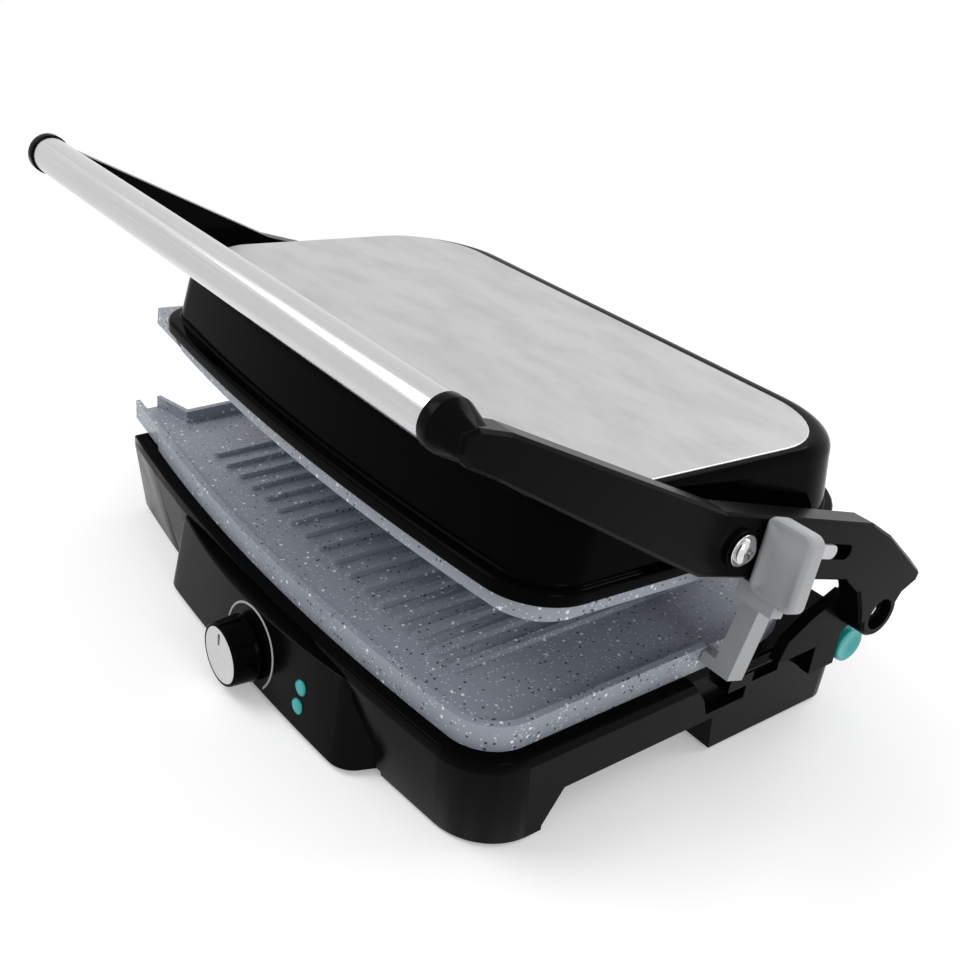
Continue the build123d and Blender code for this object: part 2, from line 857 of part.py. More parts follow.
with BuildPart() as hinge_pins:
    for side in (1, -1):
        with BuildSketch(side_plane(side * pin_inner_x)):
            with Locations(side_point(0, 0)):
                Circle(hinge_pin_radius)
        extrude(amount=side * (eye_floor_x + 0.4 - pin_inner_x))
        with BuildSketch(side_plane(side * (eye_floor_x + 0.4))):
            with Locations(side_point(0, 0)):
                Circle(hinge_head_radius)
                RegularPolygon(2.6, 6, mode=Mode.SUBTRACT)
        extrude(amount=side * 2.6)
        with BuildSketch(side_plane(side * (pin_inner_x + 0.8))):
            with Locations(side_point(0, 0)):
                Circle(hinge_pin_radius)
                Circle(hinge_pin_radius - 0.8, mode=Mode.SUBTRACT)
        extrude(amount=side * 1.2, mode=Mode.SUBTRACT)
finish(hinge_pins, "hinge_pins")

with BuildPart() as hinge_clips:
    for side in (1, -1):
        with BuildSketch(side_plane(side * (pin_inner_x + 0.9))):
            with Locations(side_point(0, 0)):
                Circle(hinge_pin_radius + 2.2)
                Circle(hinge_pin_radius - 0.8, mode=Mode.SUBTRACT)
            with Locations(side_point(6, 0)):
                Rectangle(7, 5, mode=Mode.SUBTRACT)
        extrude(amount=side * 1.0)
finish(hinge_clips, "hinge_clips")

# Arms: side outline from the hinge knuckle to the bar, with a socket for the bar's end
arm_outline = [
    (39, 16.2),
    (143, 16.2),
    (165, 21.5),
    (209, 33),
    (bar_forward - 16.7, bar_up - 12),
    (bar_forward - 2.7, bar_up - 9),
    (bar_forward + 2.8, bar_up - 5),
    (bar_forward + 3.3, bar_up + 1.5),
    (bar_forward - 1.7, bar_up + 4),
    (bar_forward - 15.7, bar_up + 3.8),
    (242, 59.2),
    (193, 51),
    (143, 43),
    (39, 43),
    (20.5, 38),
    (-5, 27.5),
    (-17.5, 22),
    (-18, 17.5),
    (-10.5, 11),
    (-9, 4),
    (12, -6),
    (18, 2),
    (26, 10.5),
]


def socket(side):
    """cup at the end of an arm that takes the bar and runs out into the end of the arm"""
    with BuildPart() as cup:
        with BuildSketch(side_plane(side * (socket_inner_x + socket_length))):
            with Locations(side_point(bar_forward, bar_up)):
                Circle(socket_radius)
        with BuildSketch(side_plane(side * (arm_outer_x - arm_chamfer))):
            with Locations(side_point(bar_forward - 5.5, bar_up - 3)):
                RectangleRounded(socket_end_length, socket_end_height, socket_end_round, rotation=socket_end_turn)
        loft()
        with BuildSketch(side_plane(side * socket_inner_x)):
            with Locations(side_point(bar_forward, bar_up)):
                Circle(socket_radius)
        extrude(amount=side * socket_length)
    return cup.part


def arm(side):
    """one arm with eye, pivot bore, boss and bar socket"""
    with BuildPart() as plate:
        with BuildSketch(side_plane(side * arm_inner_x)):
            with BuildLine():
                Polyline(*[side_point(*point) for point in arm_outline], close=True)
            make_face()
            with Locations(side_point(0, 0)):
                Circle(knuckle_radius)
        extrude(amount=side * arm_thickness)
        outer = plate.faces().sort_by(Axis.X)[-1 if side > 0 else 0]
        chamfer(outer.edges(), arm_chamfer)
        add(socket(side))
        with BuildSketch(side_plane(side * arm_outer_x)):
            with Locations(side_point(pivot_forward, pivot_up)):
                Circle(pivot_boss_radius)
        extrude(amount=side * pivot_boss_height)
        with BuildSketch(side_plane(side * socket_inner_x)):
            with Locations(side_point(bar_forward, bar_up)):
                Circle(bar_radius)
        extrude(amount=side * socket_depth, mode=Mode.SUBTRACT)
        with BuildSketch(side_plane(side * arm_inner_x)):
            with Locations(side_point(pivot_forward, pivot_up)):
                Circle(pivot_bush_radius + running_gap)
            with Locations(side_point(0, 0)):
                Circle(hinge_pin_radius + running_gap)
        extrude(amount=side * (arm_thickness + pivot_boss_height), mode=Mode.SUBTRACT)
        with BuildSketch(side_plane(side * eye_floor_x)):
            with Locations(side_point(0, 0)):
                Circle(eye_radius)
        extrude(amount=side * eye_depth, mode=Mode.SUBTRACT)
    return plate.part


with BuildPart() as left_arm:
    add(arm(-1))
finish(left_arm, "left_arm", handle_move)

with BuildPart() as right_arm:
    add(arm(1))
    with BuildSketch(side_plane(arm_inner_x)):
        with Locations(side_point((slot_rear + slot_front) / 2, slot_up)):
            SlotOverall(slot_front - slot_rear, slot_height)
    extrude(amount=arm_thickness, mode=Mode.SUBTRACT)
finish(right_arm, "right_arm", handle_move)

# Steel bar between the sockets and the tie rod inside it
bar_end_x = socket_inner_x + socket_depth
with BuildPart() as handle_tube:
    with BuildSketch(side_plane(-bar_end_x)):
        with Locations(side_point(bar_forward, bar_up)):
            Circle(bar_radius)
            Circle(bar_radius - bar_wall, mode=Mode.SUBTRACT)
    extrude(amount=2 * bar_end_x)
finish(handle_tube, "handle_tube", handle_move)

with BuildPart() as handle_rod:
    with BuildSketch(side_plane(-bar_end_x)):
        with Locations(side_point(bar_forward, bar_up)):
            Circle(rod_radius)
    extrude(amount=2 * bar_end_x)
finish(handle_rod, "handle_rod", handle_move)

# Latch: paddle outside the right arm, tongue in the slot, neck under the arm, shank and toe
paddle_x = arm_outer_x + latch_gap
shank_x = tower_inner_x - 0.1
neck_top = 16.2 - latch_gap
tongue_height = slot_height - 0.6
tongue_rear = slot_rear + latch_travel + 0.4
tongue_front = slot_front - 0.6
with BuildPart() as latch:
    with BuildSketch(side_plane(paddle_x)):
        with BuildLine():
            Polyline(
                side_point(paddle_front, paddle_low),
                side_point(paddle_front + paddle_lean, paddle_high),
                side_point(paddle_front + paddle_lean - paddle_depth, paddle_high),
                side_point(paddle_front - paddle_depth, paddle_low),
                close=True,
            )
        make_face()
    extrude(amount=paddle_width)
    with BuildSketch(Plane.XY.offset(hinge_height + 7.5)):
        with BuildLine():
            Polyline(
                (shank_x, hinge_y - shank_front),
                (shank_x, hinge_y - shank_front + shank_depth),
                (shank_x + shank_width, hinge_y - shank_front + shank_depth),
                (paddle_x + 14, hinge_y - paddle_front + paddle_depth),
                (paddle_x + 14, hinge_y - paddle_front),
                (paddle_x - 4, hinge_y - paddle_front),
                close=True,
            )
        make_face()
    extrude(amount=neck_top - 7.5)
    with BuildSketch(side_plane(shank_x)):
        with BuildLine():
            Polyline(
                side_point(shank_front, neck_top),
                side_point(shank_front, toe_low),
                side_point(shank_front - shank_depth, toe_low),
                side_point(shank_front - shank_depth, neck_top),
                close=True,
            )
        make_face()
    extrude(amount=shank_width)
    with BuildSketch(side_plane(toe_tip_x)):
        with BuildLine():
            Polyline(
                side_point(shank_front, toe_low),
                side_point(shank_front, toe_low + toe_thickness),
                side_point(shank_front - shank_depth, toe_low + toe_thickness),
                side_point(shank_front - shank_depth, toe_low),
                close=True,
            )
        make_face()
    extrude(amount=shank_x - toe_tip_x)
    with BuildSketch(side_plane(arm_inner_x - latch_gap)):
        with Locations(side_point((tongue_rear + tongue_front) / 2, slot_up)):
            SlotOverall(tongue_front - tongue_rear, tongue_height)
    extrude(amount=arm_thickness + 2 * latch_gap + 1)
finish(latch, "latch", handle_move)

backplate_x = arm_inner_x - latch_gap - 1.5
with BuildPart() as latch_backplate:
    with BuildSketch(side_plane(backplate_x)):
        with Locations(side_point((tongue_rear + tongue_front) / 2, slot_up)):
            RectangleRounded(tongue_front - tongue_rear, slot_height + 6, 3)
            with GridLocations(latch_screw_pitch, 0, 2, 1):
                Circle(1.5, mode=Mode.SUBTRACT)
    extrude(amount=1.5)
finish(latch_backplate, "latch_backplate", handle_move)

with BuildPart() as latch_screws:
    with BuildSketch(side_plane(backplate_x)):
        with Locations(side_point((tongue_rear + tongue_front) / 2, slot_up)):
            with GridLocations(latch_screw_pitch, 0, 2, 1):
                Circle(1.5)
    extrude(amount=1.5)
    with BuildSketch(side_plane(backplate_x)):
        with Locations(side_point((tongue_rear + tongue_front) / 2, slot_up)):
            with GridLocations(latch_screw_pitch, 0, 2, 1):
                Circle(2.8)
    extrude(amount=-1.2)
finish(latch_screws, "latch_screws", handle_move)


# Lid shell: flange, drafted wall and rounded shoulder, hollow inside
def lid_section(level, inset):
    """half width, front, rear and corner radii of the lid's outside at a level above the flange"""
    wall_part = min(level / lid_wall_height, 1.0)
    rise = max(level - lid_wall_height, 0.0) / lid_shoulder_height
    turn = 1 - sqrt(max(1 - rise**2, 0.0))
    half = plate_width / 2 + 3 - 2.5 * wall_part - 2.5 * turn
    front = front_y + 3 * wall_part + 14 * turn
    rear = rear_y - 5 - 2.5 * wall_part - 13 * turn
    return plan_outline(half - inset, front + inset, rear - inset, 24 - inset, 44 - inset)


def lid_body(inset, levels):
    """solid lofted through the lid's outlines"""
    with BuildPart() as body:
        for level in levels:
            with BuildSketch(Plane.XY.offset(flange_top_z + level)):
                add(lid_section(level, inset))
        loft()
    return body.part


shoulder_shares = (0, 0.45, 0.75, 0.92, 1)
shoulder_levels = [lid_wall_height + lid_shoulder_height * share for share in shoulder_shares]
inner_levels = [lid_wall_height + (lid_shoulder_height - lid_wall) * share for share in shoulder_shares]
with BuildPart() as lid_shell:
    with BuildSketch(Plane.XY.offset(lid_z + upper_rim_height)):
        add(
            plan_outline(
                plate_width / 2 + flange_overhang,
                front_y - flange_overhang,
                rear_y + flange_rear_gap,
                bezel_front_radius,
                flange_rear_radius,
            )
        )
    extrude(amount=flange_thickness)
    chamfer(lid_shell.edges().group_by(Axis.Z)[-1], 0.8)
    add(lid_body(0, [0, lid_wall_height]))
    add(lid_body(0, shoulder_levels))
    for side in (1, -1):
        with BuildSketch(side_plane(side * (plate_width / 2 - 4))):
            with Locations((pivot_y, pivot_z)):
                Circle(lid_boss_radius)
        extrude(amount=side * (arm_inner_x - latch_gap - plate_width / 2 + 4))
    with BuildSketch(Plane.XY.offset(lid_z + upper_rim_height)):
        add(plate_outline(-tray_inset + 1))
    extrude(amount=flange_thickness, mode=Mode.SUBTRACT)
    with BuildSketch(Plane.XY.offset(lid_z + upper_rim_height)):
        add(plate_outline(-flange_lap))
    extrude(amount=tray_wall, mode=Mode.SUBTRACT)
    add(lid_body(lid_wall, [0, lid_wall_height]), mode=Mode.SUBTRACT)
    add(lid_body(lid_wall, inner_levels), mode=Mode.SUBTRACT)
    for side in (1, -1):
        with BuildSketch(side_plane(side * lid_boss_inner_x)):
            with Locations((pivot_y, pivot_z)):
                Circle(lid_boss_radius)
        extrude(amount=side * (plate_width / 2 - lid_boss_inner_x))
        with BuildSketch(side_plane(side * lid_boss_inner_x)):
            with Locations((pivot_y, pivot_z)):
                Circle(pivot_screw_radius)
        extrude(amount=side * (arm_inner_x - lid_boss_inner_x), mode=Mode.SUBTRACT)
finish(lid_shell, "lid_shell", lid_move)

with BuildPart() as lid_panel:
    with BuildSketch(Plane.XY.offset(lid_top_z)):
        add(
            plan_outline(
                lid_panel_half_width,
                front_y + lid_panel_front,
                rear_y - lid_panel_rear,
                24,
                40,
            )
        )
    extrude(amount=lid_panel_thickness)
finish(lid_panel, "lid_panel", lid_move)

# Upper plate, heat tray and element
upper_floor_z = lid_z + upper_dish_depth
with BuildPart() as upper_plate:
    with BuildSketch(Plane.XY.offset(lid_z)):
        add(plate_outline())
    extrude(amount=upper_rim_height)
    with BuildSketch(Plane.XY.offset(lid_z)):
        with BuildLine():
            Polyline(*spout_points(0, spout_reach), close=True)
        make_face()
    extrude(amount=upper_rim_height - 1.0)
    with BuildSketch(Plane.XY.offset(lid_z)):
        add(plate_outline(-rim_wall))
    extrude(amount=upper_dish_depth, mode=Mode.SUBTRACT)
    with BuildSketch(Plane.XY.offset(lid_z)):
        with BuildLine():
            Polyline(*spout_points(spout_wall, spout_reach + 1), close=True)
        make_face()
    extrude(amount=upper_dish_depth, mode=Mode.SUBTRACT)
    with BuildSketch(Plane.XY.offset(upper_floor_z + plate_floor)):
        add(plate_outline(-skirt_width))
    extrude(amount=upper_rim_height, mode=Mode.SUBTRACT)
    with BuildSketch(Plane.XY.offset(upper_floor_z)):
        with GridLocations(rib_pitch, 0, rib_count, 1):
            Rectangle(rib_width, rib_length)
    extrude(amount=-rib_height, taper=12)
finish(upper_plate, "upper_plate", lid_move)

upper_tray_low = lid_z + upper_rim_height
with BuildPart() as upper_reflector:
    add(tray(upper_tray_low, upper_tray_low + tray_depth, False))
    with BuildSketch(Plane.XY.offset(upper_tray_low + tray_depth - tray_wall)):
        with Locations((20, rear_y - element_rear), (-20, rear_y - element_rear)):
            Circle(element_radius + 0.5)
    extrude(amount=tray_wall, mode=Mode.SUBTRACT)
finish(upper_reflector, "upper_reflector", lid_move)

with BuildPart() as upper_element:
    add(element(upper_floor_z + plate_floor + element_radius + 0.2, 22))
finish(upper_element, "upper_element", lid_move)

# Pivots of the lid: bush in the arm, screw through it into the lid, washer under the head
washer_x = arm_outer_x + pivot_boss_height + 0.5
with BuildPart() as pivot_bushes:
    for side in (1, -1):
        with BuildSketch(side_plane(side * arm_inner_x)):
            with Locations((pivot_y, pivot_z)):
                Circle(pivot_bush_radius)
                Circle(pivot_screw_radius + running_gap, mode=Mode.SUBTRACT)
        extrude(amount=side * (arm_thickness + pivot_boss_height))
finish(pivot_bushes, "pivot_bushes", handle_move)

with BuildPart() as pivot_washers:
    for side in (1, -1):
        with BuildSketch(side_plane(side * washer_x)):
            with Locations((pivot_y, pivot_z)):
                Circle(pivot_head_radius + 1.4)
                Circle(pivot_screw_radius, mode=Mode.SUBTRACT)
        extrude(amount=side * 0.8)
finish(pivot_washers, "pivot_washers", lid_move)

with BuildPart() as pivot_screws:
    for side in (1, -1):
        with BuildSketch(side_plane(side * lid_boss_inner_x)):
            with Locations((pivot_y, pivot_z)):
                Circle(pivot_screw_radius)
        extrude(amount=side * (washer_x + 0.8 - lid_boss_inner_x))
        with BuildSketch(side_plane(side * (washer_x + 0.8))):
            with Locations((pivot_y, pivot_z)):
                Circle(pivot_head_radius)
                Rectangle(6, 1.2, mode=Mode.SUBTRACT)
                Rectangle(1.2, 6, mode=Mode.SUBTRACT)
        extrude(amount=side * 2.4)
finish(pivot_screws, "pivot_screws", lid_move)
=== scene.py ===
import bmesh
import bpy
from math import atan2, cos, pi, radians, sin, sqrt
from mathutils import Matrix, Vector


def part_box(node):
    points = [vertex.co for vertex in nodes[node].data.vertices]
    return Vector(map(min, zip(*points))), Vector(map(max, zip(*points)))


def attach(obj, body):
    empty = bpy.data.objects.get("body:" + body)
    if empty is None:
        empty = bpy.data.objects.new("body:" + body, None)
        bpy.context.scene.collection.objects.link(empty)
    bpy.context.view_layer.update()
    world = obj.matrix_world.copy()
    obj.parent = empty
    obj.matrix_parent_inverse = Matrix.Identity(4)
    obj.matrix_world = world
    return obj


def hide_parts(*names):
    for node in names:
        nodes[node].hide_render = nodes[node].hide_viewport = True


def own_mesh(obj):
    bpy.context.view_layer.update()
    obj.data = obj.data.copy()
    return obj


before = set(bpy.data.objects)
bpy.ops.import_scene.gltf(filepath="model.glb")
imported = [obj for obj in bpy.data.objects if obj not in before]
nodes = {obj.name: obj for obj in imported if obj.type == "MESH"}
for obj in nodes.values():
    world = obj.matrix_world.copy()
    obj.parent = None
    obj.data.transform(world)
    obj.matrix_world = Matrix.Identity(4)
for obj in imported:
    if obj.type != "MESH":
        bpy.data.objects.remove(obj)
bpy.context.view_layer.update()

# Sizes are in millimetres, with the grill shut; these moves bring handle and lid to their places at rest
MM = 0.001
HINGE = Vector((0, 110.6, 61.5))
PIVOT = Vector((0, -17.2, 90.9))
RAISED_PIVOT = Vector((0, -1.5, 129.55))
LIFT = radians(-18.3)
TILT = radians(-4.0)
HANDLE_MOVE = Matrix.Translation(HINGE) @ Matrix.Rotation(LIFT, 4, "X") @ Matrix.Translation(-HINGE)
LID_MOVE = Matrix.Translation(RAISED_PIVOT) @ Matrix.Rotation(TILT, 4, "X") @ Matrix.Translation(-PIVOT)
REST = Matrix()
SIDES = ((1, "right"), (-1, "left"))
ARC_STEPS = 12

# Plates; the levels are the heights of the skirt's end, the underside, the floor of the dish and the rim
BOW = 10.5
PLATE_HALF = 150.0
PLATE_FRONT = -102.0
PLATE_REAR = 102.0
PLATE_NEAR_RADIUS = 22.0
PLATE_FAR_RADIUS = 42.0
PLATE_EDGE = 0.9
RIM_WALL = 3.2
DISH_DRAFT = 0.4
SKIRT = 6.0
RIBS = 17
RIB_PITCH = 13.0
RIB_HALF_WIDTH = 2.25
RIB_HALF_LENGTH = 75.0
RIB_HEIGHT = 2.5
RIB_DRAFT = 0.5
LOWER_LEVELS = (46.5, 49.0, 52.0, 58.5)
UPPER_LEVELS = (69.0, 67.0, 64.0, 59.0)
LOWER_SPOUT_BACK = 47.5
UPPER_SPOUT_BACK = 68.0
SPOUT_REACH = 23
SPOUT_WIDTH = 17.0
SPOUT_WALL = 2.5
SPOUT_ROOT_DROP = 2
SPOUT_TIP_NEAR = 2.5
SPOUT_TIP_FAR = 0.5
SPOUT_FLARE = 7

# Lid: flange, wall, shoulder and the steel sheet on top
FLANGE_LOW = 69.0
FLANGE_TOP = 75.5
FLANGE_OUT = 6.5
FLANGE_REAR_OUT = 2
FLANGE_RADII = (28, 50)
LID_WALL = 24.5
LID_SHOULDER = 9.5
LID_TOP = FLANGE_TOP + LID_WALL + LID_SHOULDER
LID_OUT = 3
LID_REAR_IN = 5
LID_RADII = (24, 44)
SIDE_DRAFT = 2.5
FRONT_DRAFT = 3
SHOULDER_SIDE = 2.5
SHOULDER_FRONT = 14
SHOULDER_REAR = 13
SHELL_WALL = 2.5
LIP_INSET = 8
MOUTH_INSET = 5
MOUTH_DEPTH = 0.8
SHEET_HALF = 147.0
SHEET_FRONT_IN = 18
SHEET_REAR_IN = 24
SHEET_RADII = (24, 40)

# Pivots of the lid, with cross recesses in the heads of their screws
BOSS_X = 150.3
SCREW_X = 142
RECESS_DEPTH_X = (177.9, 180.2)
RECESS_LONG = 5.4
RECESS_WIDE = 1.3

# Bar
BAR_CENTRE = Vector((0, -168.1, 120.5))
BAR_RADIUS = 8.7
BAR_END = 162.9
BAR_WALL = 1
BAR_ROLL = 0.4

# Latch: paddle outside the arm, tongue in its slot, neck under the arm, shank and toe
PADDLE_LOW = Vector((175.2, -2.4, 73.5))
PADDLE_WIDTH = 21.5
PADDLE_HEIGHT = 33.0
PADDLE_LEAN = 6.5
PADDLE_RADIUS = 4.5
PADDLE_LEAST_RADIUS = 0.8
SHANK_INNER = 157.3
SHANK_OUTER = 166.3
SHANK_NEAR = 30.1
SHANK_FAR = 40.6
SHANK_TOP = 76.0
NECK_LOW = 69.0
NECK_TOP = 77.0
NECK_INNER = 171.2
NECK_OUTER = 189.2
NECK_FRONT = -1.6
NECK_BEND = 6.0
TOE_TIP = 150.6
TOE_ROOT = 160
TOE_LOW = 25.5
TOE_TOP = 30.5
TONGUE_X = (162.8, 175.6)
TONGUE_MIDDLE = (24.1, 91.1)
TONGUE_HALF_HEIGHT = 3.2
TONGUE_HALF_LENGTH = 25.7

# Hinge towers: distances forward of the hinge and heights above it
TOWER_X = (157.4, 162.8)
ROOT_X = (153.5, 157.5)
LEG = ((23.5, -32), (6.5, -32), (6.5, -15), (0, -10.7), (10.8, 0), (17, -12), (23.5, -18))
GUSSET = ((8, -17), (49, -17), (45, -7), (31, 1), (12, 8.5), (3, 3))
ROOT = ((23.5, -31.5), (6.5, -31.5), (6.5, -22.5), (23.5, -22.5))
KNUCKLE_RADIUS = 11
KNUCKLE_LENGTH = 5.4
BORE_RADIUS = 6.45
BORE_LENGTH = 7
BORE_X = 156.8

# Control panel: each pair is a size at the panel's foot and at its top
PANEL_LOW = 2.0
PANEL_TOP = 40.4
PANEL_BACK = -92.0
PANEL_RIGHT = (91, 77)
PANEL_LEFT = (81, 77)
PANEL_BOW = (3.5, 8)
PANEL_REACH = (15, 12)
PANEL_CORNER = (13, 5)
PANEL_FLARE = (4, 18)

# Knob: how deep its disc is set in, and the pointer on the disc
DISC_DEPTH = 0.8
POINTER_RISE = 8.6
POINTER_HALF_WIDTH = 0.75
POINTER_HALF_LENGTH = 3.0

# Coil spring behind the release button
COIL_RADIUS = 5.2
WIRE = 0.6
TURNS = 5
COIL_STEPS = 24
WIRE_SIDES = 8

# The part of a noise's values that is spread over the whole range of a finish
NOISE_MIDDLE = (0.3, 0.7)


# Materials: every one is a node tree on object coordinates in metres
class Shader:
    """a material with one Principled node and short ways to feed it"""

    def __init__(self, name, colour, roughness, metallic=0.0, **sockets):
        self.mat = bpy.data.materials.new(name)
        self.mat.use_nodes = True
        self.tree = self.mat.node_tree
        self.bsdf = self.tree.nodes["Principled BSDF"]
        self.bsdf.inputs["Base Color"].default_value = (*colour, 1)
        self.bsdf.inputs["Roughness"].default_value = roughness
        self.bsdf.inputs["Metallic"].default_value = metallic
        for key, value in sockets.items():
            self.bsdf.inputs[key.replace("_", " ")].default_value = value
        self.coords = self.tree.nodes.new("ShaderNodeTexCoord")

    def node(self, kind, **settings):
        """new node with its sockets and settings given by name"""
        made = self.tree.nodes.new(kind)
        for key, value in settings.items():
            if key in made.inputs:
                made.inputs[key].default_value = value
            else:
                setattr(made, key, value)
        return made

    def link(self, source, target):
        self.tree.links.new(source, target)

    def feed(self, socket, source):
        self.link(source, self.bsdf.inputs[socket])

    def place(self, scale=(1, 1, 1)):
        """object coordinates, scaled along each axis"""
        mapping = self.node("ShaderNodeMapping")
        mapping.inputs["Scale"].default_value = scale
        self.link(self.coords.outputs["Object"], mapping.inputs["Vector"])
        return mapping.outputs["Vector"]

    def noise(self, scale, detail=3.0, roughness=0.55, stretch=(1, 1, 1)):
        noise = self.node("ShaderNodeTexNoise", Scale=scale, Detail=detail, Roughness=roughness)
        self.link(self.place(stretch), noise.inputs["Vector"])
        return noise.outputs["Fac"]

    def span(self, source, low, high, start=0.0, end=1.0):
        """value that runs from low to high while the source runs from start to end"""
        span = self.node("ShaderNodeMapRange")
        span.inputs["From Min"].default_value = start
        span.inputs["From Max"].default_value = end
        span.inputs["To Min"].default_value = low
        span.inputs["To Max"].default_value = high
        self.link(source, span.inputs["Value"])
        return span.outputs["Result"]

    def math(self, operation, first, second):
        """result of a named operation on two values, each a node's output or a number"""
        made = self.node("ShaderNodeMath", operation=operation)
        for socket, value in zip(made.inputs, (first, second)):
            if isinstance(value, (int, float)):
                socket.default_value = value
            else:
                self.link(value, socket)
        return made.outputs[0]

    def mix(self, factor, first, second):
        """blend of two colours, each a node's output or a tuple"""
        mix = self.node("ShaderNodeMix", data_type="RGBA")
        slots = [socket for socket in mix.inputs if socket.type == "RGBA"]
        self.link(factor, mix.inputs[0])
        for slot, value in zip(slots, (first, second)):
            if isinstance(value, tuple):
                slot.default_value = (*value, 1)
            else:
                self.link(value, slot)
        return [socket for socket in mix.outputs if socket.type == "RGBA"][0]

    def bump(self, height, strength, distance):
        bump = self.node("ShaderNodeBump", Strength=strength, Distance=distance)
        self.link(height, bump.inputs["Height"])
        self.link(bump.outputs["Normal"], self.bsdf.inputs["Normal"])


def shade(colour, share):
    """colour made darker or lighter by a share"""
    return tuple(c * share for c in colour)


def plastic(name, colour, roughness, grain=900, strength=0.12, **sockets):
    """moulded plastic: fine grain, smears in its gloss and slight colour drift"""
    made = Shader(name, colour, sum(roughness) / 2, **sockets)
    made.feed("Roughness", made.span(made.noise(scale=22, detail=4), *roughness, *NOISE_MIDDLE))
    lighter = tuple(min(1, c * 1.3 + 0.001) for c in colour)
    made.feed("Base Color", made.mix(made.noise(scale=9, detail=2), colour, lighter))
    made.bump(made.noise(grain, detail=2), strength, distance=0.00004)
    return made.mat


def steel(name, colour, roughness, stretch=(14, 1500, 1500), strength=0.2, patch=0.93):
    """brushed steel: fine lines along X, soft clouds in tone, and gloss that follows the lines"""
    made = Shader(name, colour, sum(roughness) / 2, 1.0)
    grain = made.noise(1.0, detail=4, roughness=0.65, stretch=stretch)
    cloud = made.noise(34, detail=5, roughness=0.62, stretch=(0.7, 1.5, 1))
    made.feed("Roughness", made.span(grain, *roughness, *NOISE_MIDDLE))
    streaked = made.mix(made.span(grain, 0, 1, 0.35, 0.65), shade(colour, 0.9), colour)
    patched = made.mix(made.span(cloud, 0, 1, 0.42, 0.66), streaked, shade(colour, patch))
    made.feed("Base Color", patched)
    made.bump(grain, strength, distance=0.00001)
    return made.mat


def coating(name, colour, dark):
    """non-stick coating: blue-grey with white and black flecks in several sizes"""
    made = Shader(name, colour, 0.36, 0.0)

    def flecks(scale, size, share):
        """round spots in a share of the cells of a cell pattern"""
        cells = made.node("ShaderNodeTexVoronoi", Scale=scale, Randomness=1.0)
        made.link(made.place(), cells.inputs["Vector"])
        spot = made.span(cells.outputs["Distance"], 1, 0, size * 0.7, size)
        split = made.node("ShaderNodeSeparateColor")
        made.link(cells.outputs["Color"], split.inputs["Color"])
        return made.math("MULTIPLY", spot, made.math("GREATER_THAN", split.outputs[0], 1 - share))

    speckled = made.mix(made.noise(scale=14, detail=3), colour, dark)
    for scale, size, share, tint in (
        (620, 0.30, 0.42, (0.62, 0.66, 0.70)),
        (380, 0.26, 0.30, (0.02, 0.022, 0.026)),
        (260, 0.24, 0.30, (0.82, 0.84, 0.86)),
    ):
        speckled = made.mix(flecks(scale, size, share), speckled, tint)
    made.feed("Base Color", speckled)
    made.feed("Roughness", made.span(made.noise(scale=300, detail=3), 0.3, 0.44, *NOISE_MIDDLE))
    made.bump(made.noise(scale=1500, detail=2), strength=0.18, distance=0.00006)
    return made.mat


gloss_black = plastic(
    "gloss_black", (0.0006, 0.0006, 0.0007), (0.05, 0.1), grain=60, strength=0.03, Specular_IOR_Level=0.015
)
satin_black = plastic(
    "satin_black", (0.0014, 0.0014, 0.0016), (0.16, 0.24), strength=0.1, Specular_IOR_Level=0.05
)
arm_black = plastic("arm_black", (0.0014, 0.0014, 0.0016), (0.18, 0.26), grain=1100, Specular_IOR_Level=0.035)
rubber = plastic("rubber", (0.012, 0.012, 0.012), (0.6, 0.8), grain=500, strength=0.4, Specular_IOR_Level=0.2)
latch_plastic = plastic("latch_plastic", (0.30, 0.305, 0.315), (0.3, 0.42), grain=700, strength=0.1)
tongue_plastic = plastic("tongue_plastic", (0.46, 0.46, 0.47), (0.2, 0.3), grain=700, strength=0.1)
turquoise = plastic(
    "turquoise", (0.015, 0.33, 0.34), (0.14, 0.22), grain=400, strength=0.06, Subsurface_Weight=0.2
)
white_plastic = plastic("white_plastic", (0.55, 0.55, 0.52), (0.35, 0.5), grain=500, strength=0.2)
board = plastic("board", (0.02, 0.11, 0.05), (0.3, 0.4), grain=300, strength=0.2)
print_grey = plastic("print_grey", (0.36, 0.37, 0.39), (0.45, 0.6), grain=600, strength=0.1)
pointer_black = plastic("pointer_black", (0.01, 0.01, 0.01), (0.3, 0.4), grain=500, strength=0.1)
plate_coat = coating("plate_coat", (0.31, 0.34, 0.395), (0.26, 0.286, 0.333))
lid_steel = steel("lid_steel", (0.57, 0.57, 0.58), (0.32, 0.44), patch=0.82)
bar_steel = steel("bar_steel", (0.60, 0.60, 0.61), (0.14, 0.22), (10, 900, 900), strength=0.1)
knob_steel = steel("knob_steel", (0.62, 0.62, 0.63), (0.22, 0.32))
chrome = steel("chrome", (0.74, 0.74, 0.75), (0.1, 0.18), (40, 200, 200), strength=0.1)
heater = steel("heater", (0.13, 0.12, 0.11), (0.4, 0.6), (30, 90, 90), strength=0.3)
sheet_metal = steel("sheet_metal", (0.66, 0.66, 0.67), (0.3, 0.45), (20, 220, 220))

